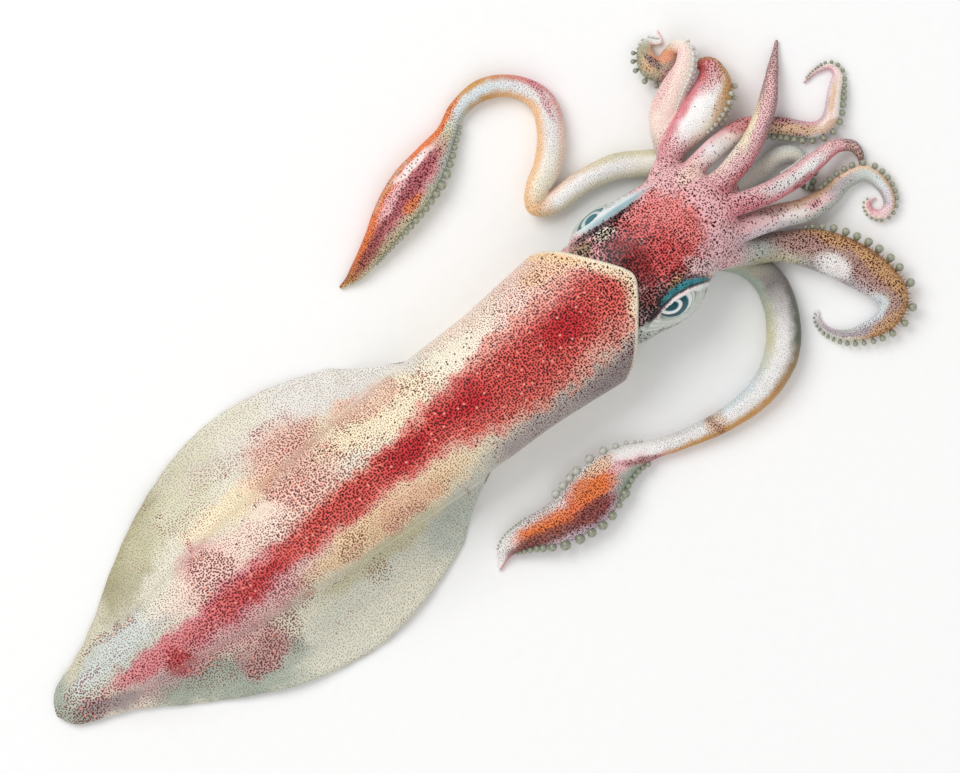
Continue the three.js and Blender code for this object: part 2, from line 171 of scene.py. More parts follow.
def patch(x, y, spot, edge=0.35):
    # 1 inside an ellipse, fading to 0 over the edge share on both sides of its outline; a spot is its middle
    # x and y, its reach along and across, and its turn in degrees where it has one
    middleX, middleY, reachAlong, reachAcross, *turn = spot
    angle = math.radians(sum(turn))
    c, s = math.cos(angle), math.sin(angle)
    along = ((x - middleX) * c + (y - middleY) * s) / reachAlong
    across = ((y - middleY) * c - (x - middleX) * s) / reachAcross
    return 1 - smoothStep(1 - edge, 1 + edge, np.hypot(along, across))


def broken(cover, breaks, margin):
    # a patch's cover with its border broken up, sharper by a margin at both ends
    return smoothStep(margin, 1 - margin, cover + breaks)


def gridFaces(rows, columns, closed=True):
    # quads between neighbouring rows of points, round to the first column again where the rows are closed
    i = np.arange(rows - 1)[:, None]
    j = np.arange(columns if closed else columns - 1)[None, :]
    k = (j + 1) % columns
    quads = np.stack([i * columns + j, i * columns + k, (i + 1) * columns + k, (i + 1) * columns + j], -1)
    return quads.reshape(-1, 4)


def fanFaces(ring, pole, flip=False):
    # triangles from a closed ring of point numbers to one pole
    nextOne = np.roll(ring, -1)
    pair = (nextOne, ring) if flip else (ring, nextOne)
    return np.stack([pair[0], pair[1], np.full(len(ring), pole)], -1)


def outward(points, quads, triangles):
    # the faces turned so that the closed surface's volume, a sum of a.(b x c) / 6, comes out positive
    fans = [quads[:, [0, 1, 2]], quads[:, [0, 2, 3]], triangles]
    corners = points[np.concatenate([fan for fan in fans if len(fan)])]
    volume = np.einsum("ij,ij->", corners[:, 0], np.cross(corners[:, 1], corners[:, 2]))
    return (quads, triangles) if volume > 0 else (quads[:, ::-1], triangles[:, ::-1])


noTriangles = np.zeros((0, 3), int)
tableGap = 0.05  # mm between a skin and the table


def circle(sides):
    # cosines and sines of even steps round a circle, shaped to multiply rows of directions
    angle = np.linspace(0, 2 * np.pi, sides, endpoint=False)[None, :, None]
    return np.cos(angle), np.sin(angle)


def capped(rings, first, last):
    # a closed surface from rows of points with a pole at both ends, its faces turned outwards
    rows, sides = rings.shape[:2]
    count = rows * sides
    points = np.concatenate([rings.reshape(-1, 3), [first, last]])
    around = np.arange(sides)
    ends = [fanFaces(around, count, True), fanFaces(around + count - sides, count + 1)]
    return points, *outward(points, gridFaces(rows, sides), np.concatenate(ends))


def newObject(name, data):
    # a new object in the scene for a mesh, lamp or camera
    made = bpy.data.objects.new(name, data)
    bpy.context.scene.collection.objects.link(made)
    return made


def makePiece(name, points, quads, triangles=noTriangles, looks=None):
    # one mesh object from arrays of points and faces, with a colour or number for each point as attributes
    mesh = bpy.data.meshes.new(name)
    place = (np.asarray(points) + tailPoint) / 1000
    corners = np.concatenate([quads.ravel(), triangles.ravel()]).astype(np.int32)
    sizes = np.concatenate([np.full(len(quads), 4), np.full(len(triangles), 3)])
    starts = np.concatenate([[0], np.cumsum(sizes)[:-1]]).astype(np.int32)
    mesh.vertices.add(len(place))
    mesh.vertices.foreach_set("co", place.astype(np.float32).ravel())
    mesh.loops.add(len(corners))
    mesh.loops.foreach_set("vertex_index", corners)
    mesh.polygons.add(len(sizes))
    mesh.polygons.foreach_set("loop_start", starts)
    mesh.polygons.foreach_set("use_smooth", np.ones(len(sizes), bool))
    mesh.update(calc_edges=True)
    mesh.validate()
    piece = newObject(name, mesh)
    setLooks(piece, looks or {})
    return piece


def setLooks(piece, looks):
    # writes each array into the mesh as an attribute of its points: colours and places on the skin have three
    # columns, numbers one
    for title, values in looks.items():
        values = np.asarray(values, np.float32)
        if title == "spread":
            attribute = piece.data.attributes.new(title, "FLOAT_VECTOR", "POINT")
            attribute.data.foreach_set("vector", values.ravel() / 1000)
        elif values.ndim == 2:
            attribute = piece.data.attributes.new(title, "FLOAT_COLOR", "POINT")
            full = np.concatenate([values, np.ones((len(values), 1), np.float32)], 1)
            attribute.data.foreach_set("color", np.clip(full, 0, 1).ravel())
        else:
            attribute = piece.data.attributes.new(title, "FLOAT", "POINT")
            attribute.data.foreach_set("value", values)


def dress(piece, material, slot, *nodes):
    # gives a piece its material, hangs it under the root body and hides the nodes it stands for; slot is not
    # used
    piece.data.materials.append(material)
    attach(piece, "root")
    if nodes:
        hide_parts(*nodes)


bumpStrength = 0.5


def feed(tree, made, inputs):
    # sets a node's inputs, named or numbered as i0, i1 and so on, to numbers, colours or others' outputs
    for key, value in inputs.items():
        socket = made.inputs[int(key[1:])] if key[0] == "i" and key[1:].isdigit() else made.inputs[key]
        if isinstance(value, bpy.types.NodeSocket):
            tree.links.new(value, socket)
        else:
            socket.default_value = value


def node(tree, kind, settings=None, **inputs):
    # a shader node with its settings, whose inputs are numbers, colours or other nodes' outputs
    made = tree.nodes.new(kind)
    for key, value in (settings or {}).items():
        setattr(made, key, value)
    feed(tree, made, inputs)
    return made


def newMaterial(name, finish):
    # a material whose shader has the finish's numbers; its tree and shader, and the place on the object
    material = bpy.data.materials.new(name)
    material.use_nodes = True
    tree = material.node_tree
    shader = tree.nodes["Principled BSDF"]
    feed(tree, shader, finish)
    return material, tree, shader, node(tree, "ShaderNodeTexCoord").outputs["Object"]


def attribute(tree, title, output="Color"):
    # what one of the mesh's attributes says
    return node(tree, "ShaderNodeAttribute", {"attribute_name": title}).outputs[output]


def noise(tree, place, choice, output="Fac"):
    # soft noise with so many cells to a metre and so much detail
    scale, detail = choice
    return node(tree, "ShaderNodeTexNoise", Vector=place, Scale=scale, Detail=detail).outputs[output]


def ranged(tree, value, limits):
    # a share moved onto the range between two limits
    ends = {"To Min": limits[0], "To Max": limits[1]}
    return node(tree, "ShaderNodeMapRange", Value=value, **ends).outputs["Result"]


def toned(tree, cloud, limits):
    # the tone attribute's colour, made darker and lighter by clouds
    value = ranged(tree, cloud, limits)
    return node(tree, "ShaderNodeHueSaturation", Color=attribute(tree, "tone"), Value=value).outputs["Color"]


def steps(tree, value, low, high):
    # 0 below low, 1 above high and smooth between
    ends = {"From Min": low, "From Max": high}
    settings = {"interpolation_type": "SMOOTHSTEP"}
    return node(tree, "ShaderNodeMapRange", settings, Value=value, **ends).outputs["Result"]


def sums(tree, operation, a, b):
    # one sum of two numbers or outputs
    return node(tree, "ShaderNodeMath", {"operation": operation}, i0=a, i1=b).outputs[0]


def vectors(tree, operation, a, **inputs):
    # one sum of vectors
    return node(tree, "ShaderNodeVectorMath", {"operation": operation}, i0=a, **inputs).outputs[0]


def mixed(tree, share, a, b, blend="MIX"):
    # two colours mixed by a share
    settings = {"data_type": "RGBA", "blend_type": blend}
    return node(tree, "ShaderNodeMix", settings, i0=share, i6=a, i7=b).outputs[2]


def spotLayer(tree, kind, place, pitch, radius, softness):
    # round spots in the cells of a Voronoi pattern: 1 inside the radius, a share of the pitch
    settings = {"feature": "F1", "voronoi_dimensions": kind}
    sizes = {"Scale": 1000 / pitch, "Randomness": skin["randomness"]}
    cells = node(tree, "ShaderNodeTexVoronoi", settings, Vector=place, **sizes)
    low, high = (sums(tree, operation, radius, softness) for operation in ("SUBTRACT", "ADD"))
    inside = sums(tree, "SUBTRACT", 1.0, steps(tree, cells.outputs["Distance"], low, high))
    chance = node(tree, "ShaderNodeSeparateColor", Color=cells.outputs["Color"])
    return inside, chance.outputs[0]


def skinCells(tree, skinPlaces, pitch, radius, softness, share=None):
    # spots laid out on the skin where it has its own flat places, and cut from a solid pattern elsewhere,
    # with the solid one's radius (0.75 r^2)^(1/3) so that both cover as much; a share picks some of them
    spread, place, flat = skinPlaces
    square = sums(tree, "MULTIPLY", radius, radius)
    solidRadius = sums(tree, "POWER", sums(tree, "MULTIPLY", square, 0.75), 0.3333)
    made = []
    for kind, where, size in (("3D", place, solidRadius), ("2D", spread, radius)):
        inside, chance = spotLayer(tree, kind, where, pitch, size, softness)
        if share is None:
            pick = ranged(tree, chance, skin["fineStrength"])
        else:
            pick = steps(tree, sums(tree, "SUBTRACT", share, chance), -0.01, 0.01)
        made.append(sums(tree, "MULTIPLY", inside, pick))
    return node(tree, "ShaderNodeMix", {"data_type": "FLOAT"}, i0=flat, i2=made[0], i3=made[1]).outputs[0]


skin = {
    "finePitch": 0.76,  # mm between the fine colour cells
    "fineSoftness": 0.03,
    "fineStrength": (0.8, 1.0),
    "cellShare": 0.84,  # of the cells' sizes that the paint functions work out
    "fleckShade": (0.5, 0.17, 0.22),  # the cells' colours as shares of the palette's
    "cellRelief": 0.35,  # the fine cells' share of the relief
    "randomness": 0.75,  # of the cells' places
    "waver": 0.00022,  # m, how far the cells' outlines wander
    "waverNoise": (1100.0, 1.0),  # here and below, cells to a metre and detail
    "inkPitch": 1.15,  # mm between the places where a large dark cell may sit
    "inkRadius": (0.25, 0.1),  # of a dark cell as a share of the pitch, and how much more where all are dark
    "inkSoftness": 0.05,
    "inkShade": (0.45, 0.3, 0.4),  # a dark cell's colour as shares of the fine ones'
    "gaps": (2.2, 0.17, 0.06, 0.2),  # pale gaps: mm between them, radius, softness and share that shows
    "gapFrom": (0.31, 0.355),  # sizes of the fine cells between which the gaps come in
    "gapColour": (0.95, 0.60, 0.52),
    "cloudNoise": (420.0, 3.0),
    "cloudLight": (0.88, 1.1),  # the ground's lightness in the clouds' darkest and lightest places
    "roughness": (0.28, 0.46),
    "wrinkle": 0.00006,  # m
    "wrinkleNoise": (900.0, 4.0),
    "finish": {
        "Specular IOR Level": 0.16,
        "Coat Weight": 0.12,
        "Coat Roughness": 0.2,
        "Subsurface Weight": 0.05,
        "Subsurface Radius": (1.0, 0.45, 0.35),
        "Subsurface Scale": 0.0006,
    },
}


def skinMaterial(name, choices):
    # moist skin: the ground colour under fine cells of the fleck colour and sparse dark cells, each as
    # large as its attribute says, with a finely wrinkled wet surface
    material, tree, shader, place = newMaterial(name, choices["finish"])
    fleck = attribute(tree, "fleck")
    spots = attribute(tree, "spots", "Fac")
    dark = attribute(tree, "dark", "Fac")
    drift = noise(tree, place, choices["waverNoise"], "Color")
    drift = vectors(tree, "SUBTRACT", drift, i1=(0.5, 0.5, 0.5))
    drift = vectors(tree, "SCALE", drift, Scale=choices["waver"])
    skinPlaces = [vectors(tree, "ADD", at, i1=drift) for at in (attribute(tree, "spread", "Vector"), place)]
    skinPlaces.append(attribute(tree, "flat", "Fac"))
    cloud = noise(tree, place, choices["cloudNoise"])
    fine = skinCells(tree, skinPlaces, choices["finePitch"], spots, choices["fineSoftness"])
    colour = mixed(tree, fine, toned(tree, cloud, choices["cloudLight"]), fleck)
    gap = skinCells(tree, skinPlaces, *choices["gaps"])
    gap = sums(tree, "MULTIPLY", gap, steps(tree, spots, *choices["gapFrom"]))
    colour = mixed(tree, gap, colour, (*linear(choices["gapColour"]), 1))
    least, more = choices["inkRadius"]
    inkRadius = sums(tree, "ADD", least, sums(tree, "MULTIPLY", dark, more))
    large = skinCells(tree, skinPlaces, choices["inkPitch"], inkRadius, choices["inkSoftness"], dark)
    colour = mixed(tree, large, colour, mixed(tree, 1.0, fleck, (*choices["inkShade"], 1), "MULTIPLY"))
    wrinkles = noise(tree, place, choices["wrinkleNoise"])
    relief = sums(tree, "ADD", wrinkles, sums(tree, "MULTIPLY", fine, choices["cellRelief"]))
    bump = node(tree, "ShaderNodeBump", Height=relief, Distance=choices["wrinkle"], Strength=bumpStrength)
    rough = ranged(tree, cloud, choices["roughness"])
    feed(tree, shader, {"Base Color": colour, "Roughness": rough, "Normal": bump.outputs["Normal"]})
    return material


# The mantle, in mm
mantle = {
    "length": 215.0,  # tail point to the apex of the rim's dorsal lobe
    "halfWidth": 23.4,
    "height": 34.0,
    "finEnd": 150.0,
    "rimSlope": 0.8,
    "cornerDrop": 3.2,
    "lobeRound": 3.0,
    "funnelNotch": 3.0,
    "bellyPress": 0.05,
    "tailHeight": 2.2,
    "tailRound": 2.5,
    "wall": 2.3,
    "recessFloor": 188.0,
    "finRoot": 4.4,
    "finEdge": 1.7,
    "finRound": 1.3,  # width of the rounded edge of a fin
    "finBlend": 8.0,  # of the crease between fin and tube
    "finFlank": (0.55, 0.9),  # where their sheet starts: shares of the tube's half-width and of their reach
    "finBed": (1.8, 0.7, 7.5),  # height of the middle of a lying fin, and height and step of its waves
    "finLeaves": (0.62, 0.3),  # where they leave the tube at the tail and in front: shares of its height
    "squareness": 0.92,
    "lipBulge": 0.9,
    "rows": (204, 96, 10, 8, 4),  # over the fins, ahead of them, round the lip, down the wall, on the floor
    "columns": 232,
    "swell": [(0.32, 17.0, 3, 2), (0.12, 5.0, 5, 2)],  # here and below, how far, size, seed and layers
    "wanderX": [(3.5, 16.0, 31, 3), (3.4, 5.0, 35, 2), (1.6, 1.8, 37, 2)],
    "wanderY": [(2.2, 14.0, 21, 3), (2.6, 4.6, 25, 2), (1.3, 1.8, 27, 2)],
    "mottle": (6.5, 41),
    "speckle": (2.3, 45, 2),
    "ripple": (0.07, 0.8, 5.0),  # across the fins: height, radians to a mm and how far they stray
    "outline": (260, 161),  # steps over the tube and over a fin, from which the columns are taken
    "shares": [  # x / length, then shares of the half-width and the height
        (-0.0116, 0.02, 0.05), (0.03, 0.21, 0.19), (0.16, 0.47, 0.48), (0.36, 0.70, 0.76), (0.54, 0.82, 0.92),
        (0.70, 0.89, 0.99), (0.80, 0.915, 1.0), (0.86, 0.965, 1.0), (0.91, 1.0, 1.0),
    ],
    "ground": [  # colour, strength, middle x and y, reach along and across, turn
        # the sea-grey and grey-green patches on the right fin and the grey mauve on the tail's right side are
        # partly painted shade, the side turned from the key light
        ("seaGrey", 0.4, 98, -32, 42, 11, 4), ("finCream", 0.6, 112, -31, 10, 5, 10),
        ("finCream", 0.7, 92, -35, 24, 5, 0), ("seaGrey", 0.8, 132, -25, 17, 7, 16),
        ("greyGreen", 1.0, 42, -21, 26, 6.5, -32), ("olive", 0.7, 44, 25, 20, 8, 38),
        ("oliveCream", 0.7, 62, 28, 22, 7, 14), ("lilac", 0.22, 88, 31, 20, 4, 0),
        # the sea-grey, blue-white and cream streak at x 26 to 48 along the tail's ridge is a painted
        # highlight
        ("whiteLilac", 0.8, 126, 29, 24, 10, -22), ("seaGrey", 0.7, 26, 4, 28, 6, 7),
        ("blueWhite", 0.5, 26, 5, 22, 3.6, 7), ("cream", 0.7, 48, 8, 11, 3.2, 5),
        ("pink", 0.75, 56, -8, 40, 8, 0), ("rose", 0.3, 60, -11, 24, 7, 0),
        ("greyMauve", 0.9, 10, -6.5, 10, 2.8, -20), ("greyGreen", 0.9, 60, -24, 13, 5, -20),
        ("rose", 0.5, 59, -22, 9, 5.5, 0), ("rose", 0.8, 61, 3, 8, 12, 0), ("blush", 0.8, 74, 6, 30, 7, 4),
        ("yellowCream", 1.0, 78, 18, 18, 4.5, 0), ("salmon", 0.6, 100, 17, 15, 14, 0),
        ("cream", 0.3, 83, 11, 4, 1.6, -8), ("yellowCream", 0.9, 130, 14, 22, 8, -8),
        ("salmon", 0.45, 128, 19, 10, 4, -10), ("cream", 1.0, 160, 14, 13, 4.5, 4),
        ("cream", 0.6, 167, 18.5, 12, 4, 0), ("yellowCream", 1.0, 118, -13.5, 32, 6, 0),
        ("apricot", 0.6, 112, -12.5, 28, 5, 0), ("salmon", 0.4, 119, -13, 12, 4, 0),
        ("oliveCream", 0.9, 106, -20.5, 22, 3, 2),
    ],
    "cells": [  # colour of the cells, how much more they cover, middle x and y, reach along and across
        ("darkRose", 0.17, 100, 17, 15, 13), ("darkRose", 0.12, 94, 5, 20, 8),
        ("darkCrimson", 0.28, 61, 3, 7, 9.5), ("darkCrimson", 0.16, 36, -9, 3.6, 5),
        ("darkRose", 0.15, 60, -12, 28, 8), ("darkRose", 0.2, 10, -5.5, 10, 2.8),
        ("darkCrimson", 0.34, 58, -24, 7, 4), ("darkRose", 0.16, 66, -22, 10, 6),
        ("darkRose", 0.12, 46, -19, 12, 5), ("mauve", 0.1, 30, -13, 14, 4),
        ("darkRose", 0.14, 102, -24, 4, 3.5), ("darkCrimson", 0.14, 99, -14, 5, 3),
        ("darkRose", 0.14, 116, -15, 7, 3), ("brownRose", 0.04, 112, -13, 28, 6),
        ("darkRose", 0.16, 25, 9.5, 13, 1.4), ("mauve", 0.12, 8, 4, 8, 2),
        ("darkRose", 0.14, 100, 31.5, 8, 2), ("darkRose", 0.07, 80, 29, 12, 3),
        ("darkRose", 0.09, 64, 22, 8, 4), ("darkRose", 0.14, 128, 18, 10, 4),
        ("brownRose", 0.12, 118, 7, 10, 5), ("darkRose", 0.14, 145, 10, 6, 6),
        ("darkRose", 0.10, 6, -2, 12, 5),
    ],
    "midline": [  # x and y of the band's middle
        (0, -2.5), (33, -4.4), (70, -4.0), (100, -2.4), (130, -1.2), (150, -2), (168, -2.6), (186, -1.2),
        (215, 0.5),
    ],
    "band": [  # x, half-width and strength of the crimson band
        (0, 1.5, 0.2), (35, 2.9, 0.42), (78, 3.6, 0.66), (96, 4.6, 0.95), (130, 5.4, 1.0), (150, 7.7, 1.0),
        (168, 9.4, 1.0), (186, 10, 1.0), (200, 10, 0.88), (215, 10.5, 0.6),
    ],
    "groundBreak": 0.2,  # how ragged the ground's patches are
    "cellBreak": 0.55,  # the same for the cells' patches
    "finShade": (0.55, 0.50, 0.50),  # the sparse cells' colours on the fins as shares of the palette's
    # darker places of the band
    "deep": [(151, 0.5, 9, 5), (130, -1, 8, 3.5), (190, 0, 8, 6), (72, -5, 10, 2.5), (36, -9, 3.4, 4.5)],
    "sparse": [(0.6, 83, 11, 4, 2), (0.7, 160, 14, 10, 3.5)],  # share of the cells that stays there
    "inky": [(0.14, 118, 8, 38, 8), (0.12, 160, 10, 14, 6)],  # share of dark cells added there
    # fewer dark cells along the tail ridge's painted highlight
    "inkless": (30, 5, 28, 4, 7),
    "finSpan": [  # x, then the fins' reach from the midline
        (-2.5, 0.3), (-2, 1.6), (-1, 3.7), (0.5, 5.5), (2.5, 7.0), (6, 8.5), (12, 10.6), (20, 14.3), (32, 22),
        (46, 29.9), (60, 36.4), (76, 41), (90, 42.4), (104, 40.5), (115, 37.4), (126, 33.4), (132, 28.6),
        (138, 24.6), (144, 21.9), (150, 19),
    ],
}
tubeEnd = mantle["shares"][-1][0] * mantle["length"]


def tubeSize(x):
    # half-width and height of the mantle's tube at a distance from the tail
    shares = through(mantle["shares"], x / mantle["length"])
    return mantle["halfWidth"] * shares[..., 0], mantle["height"] * shares[..., 1]


def finReach(x):
    # reach of the fins from the midline
    return through(mantle["finSpan"], x)[..., 0]


def finSheet(x, y):
    # middle height and half-thickness of the fins: a sheet that leaves the tube high near the tail and low
    # forward, drops to the table by half a cosine wave and lies there in slight waves
    halfWidth, height = tubeSize(x)
    span = finReach(x)
    flank = np.minimum(mantle["finFlank"][0] * halfWidth, mantle["finFlank"][1] * span)
    out = np.clip((y - flank) / np.maximum(span - flank, 0.01), 0, 1) ** (1 / 0.9)
    bed, wave, step = mantle["finBed"]
    rest = bed + wave * np.sin(x / step) * np.clip(x / 30, 0, 1)
    top = np.maximum(rest, lerp(*mantle["finLeaves"], x / mantle["finEnd"]) * height)
    drop = np.minimum(top - rest, np.maximum(span - halfWidth, 0))
    middle = top - drop * (0.5 - 0.5 * np.cos(np.pi * out**0.8))
    half = lerp(mantle["finRoot"], mantle["finEdge"], out) / 2 * np.minimum(1, span / 6)
    nearEdge = np.clip((y - span + mantle["finRound"]) / mantle["finRound"], 0, 1)
    return middle, half * np.sqrt(1 - nearEdge**2)


def mantleHeights(x, y, shrink=0.0):
    # heights of the mantle's back and belly over a place: a squarish ellipse for the tube joined to the fins'
    # sheet with a soft crease, flattened by the table
    halfWidth, height = tubeSize(x)
    a = halfWidth - shrink
    b = height / 2 - shrink
    middle = np.maximum(height / 2 * (1 - mantle["bellyPress"]), mantle["tailHeight"])
    square = mantle["squareness"]
    across = np.clip(y / np.maximum(a, 0.05), 0, 1) ** (1 / square)
    rise = b * np.sqrt(1 - across**2) ** square
    past = 6 * np.maximum(y - a, 0)
    coreTop = middle + rise - past
    coreBottom = middle - rise + past
    span = finReach(x)
    here = smoothStep(-1, 2.5, span - halfWidth) * (x < mantle["finEnd"]) * (shrink == 0)
    here = np.where(x < 12, 1.0, here) * (y <= span + 1e-6)
    sheet, half = finSheet(x, y)
    finTop = lerp(coreTop, sheet + half, here)
    finBottom = lerp(coreBottom, sheet - half, here)
    blend = mantle["finBlend"] * np.clip(x / 25, 0.1, 1) * np.maximum(here, 0.02)
    top = np.where(here > 0, softMax(coreTop, finTop, blend), coreTop)
    bottom = np.where(here > 0, softMin(coreBottom, finBottom, 1.0), coreBottom)
    return np.maximum(top, 0), np.maximum(bottom, 0)


def evenly(y, z, count):
    # a polyline in each row resampled at places evenly spaced along its length
    length = np.cumsum(np.hypot(np.diff(y, axis=1), np.diff(z, axis=1)), axis=1)
    length = np.concatenate([np.zeros((len(y), 1)), length], 1)
    rowStart = np.arange(len(y))[:, None] * 2.0
    share = (length / length[:, -1:] + rowStart).ravel()
    want = np.linspace(0, 1, count)[None, :] + rowStart
    return (np.interp(want.ravel(), share, values.ravel()).reshape(want.shape) for values in (y, z))


def mantleRings(x, shrink=0.0):
    # closed cross-sections at each x, from the back's midline over the left edge to the belly and up the
    # right side
    x = np.asarray(x, float)[:, None]
    a = tubeSize(x)[0] - shrink
    edge = np.maximum(a, finReach(x)) if shrink == 0 else a
    edge = np.where(x < mantle["finEnd"], edge, a)
    tubeSteps, finSteps = mantle["outline"]
    sweep = np.linspace(0, np.pi / 2, tubeSteps)[None, :]
    beyond = np.linspace(0, 1, finSteps)[None, 1:]
    y = np.concatenate([a * np.sin(sweep), a + (edge - a) * beyond], 1)
    top, bottom = mantleHeights(x, y, shrink)
    top[:, -1:] = bottom[:, -1:] = (top[:, -1:] + bottom[:, -1:]) / 2
    quarter = mantle["columns"] // 4
    topY, topZ = evenly(y, top, quarter + 1)
    lowY, lowZ = evenly(y, bottom, quarter + 1)
    ringY = np.concatenate([topY[:, :-1], lowY[:, :0:-1], -lowY[:, :-1], -topY[:, :0:-1]], 1)
    ringZ = np.concatenate([topZ[:, :-1], lowZ[:, :0:-1], lowZ[:, :-1], topZ[:, :0:-1]], 1)
    upper = np.arange(mantle["columns"])
    upper = (upper <= quarter) | (upper >= 3 * quarter)
    return ringY, ringZ, np.broadcast_to(upper, ringY.shape)


def rimPlace(y, upper):
    # how far forward the rim lies: a chevron with round corners over the back, a notch for the funnel below
    slope, lobe, corner = mantle["rimSlope"], mantle["lobeRound"], mantle["cornerDrop"]
    share = np.clip(y / mantle["halfWidth"], -1, 1)
    fall = lambda side, part: slope * (np.hypot(side, lobe) - lobe) + corner * np.abs(part) ** 10
    notch = mantle["funnelNotch"] * np.cos(share * np.pi / 2) ** 4
    return mantle["length"] - np.where(upper, fall(y, share), fall(mantle["halfWidth"], 1) + notch)


def mantleSurface():
    # the whole skin in rows, and the zone of each: 0 over the fins, 1 sliding forward to the rim, 2 the lip's
    # half circle, 3 the inside of the wall and 4 the recess's floor
    finEnd, floor = mantle["finEnd"], mantle["recessFloor"]
    behind, ahead, lipRows, wallRows, floorRows = mantle["rows"]
    tailX = lerp(-0.985 * mantle["tailRound"], finEnd, (np.arange(behind) / behind) ** 1.25)
    y1, z1, _ = mantleRings(tailX)
    x1 = np.broadcast_to(tailX[:, None], y1.shape)
    reach = np.linspace(0, 1, ahead)
    y2, z2, upper = mantleRings(lerp(finEnd, tubeEnd, reach) + 1e-6)
    x2 = lerp(finEnd, rimPlace(y2, upper), reach[:, None] * 0.992)
    turn = np.linspace(0, np.pi, lipRows + 1)[1:]
    lip = [mantleRings([tubeEnd], mantle["wall"] * (1 - math.cos(t)) / 2 + 1e-6) for t in turn]
    y3, z3 = (np.concatenate([ring[k] for ring in lip]) for k in (0, 1))
    upperLip = np.broadcast_to(upper[:1], y3.shape)
    x3 = rimPlace(y3, upperLip) - 0.4 + mantle["lipBulge"] * np.sin(turn)[:, None]
    inward = np.linspace(0, 1, wallRows + 1)[1:, None]
    y4, z4 = (np.repeat(rows[-1:], wallRows, 0) for rows in (y3, z3))
    x4 = lerp(x3[-1:], floor, inward)
    toward = np.linspace(0, 1, floorRows + 2)[1:-1, None]
    y5 = y4[-1:] * (1 - toward)
    z5 = lerp(z4[-1:], mantle["height"] / 2, toward)
    x5 = np.full_like(y5, floor)
    columns = (x1, x2, x3, x4, x5), (y1, y2, y3, y4, y5), (z1, z2, z3, z4, z5)
    points = np.stack([np.concatenate(parts) for parts in columns], -1)
    return points, np.concatenate([np.full(len(part), k) for k, part in enumerate(columns[0])])


def sway(points, zones):
    # soft relief along the normal: broad unevenness of the flesh and ripples across the fins
    along = np.gradient(points, axis=0)
    around = np.roll(points, -1, 1) - np.roll(points, 1, 1)
    normal = unit(np.cross(around, along))
    x, y, z = points[..., 0], points[..., 1], points[..., 2]
    fin = smoothStep(0, 6, np.abs(y) - tubeSize(np.clip(x, 0, tubeEnd))[0] + 2) * (x < mantle["finEnd"])
    swell = wandered(points, 0, mantle["swell"])
    height, waves, stray = mantle["ripple"]
    ripple = height * np.sin(x * waves + stray * clouds(points, 20.0, 9, 2)) * fin
    outside = np.where(zones[:, None] < 2, 1.0, 0.15) * smoothStep(0, 0.8, z) * smoothStep(-3, 4, x)
    moved = points + normal * ((swell + ripple) * outside)[..., None]
    moved[..., 2] = np.maximum(moved[..., 2], 0.0)
    return moved


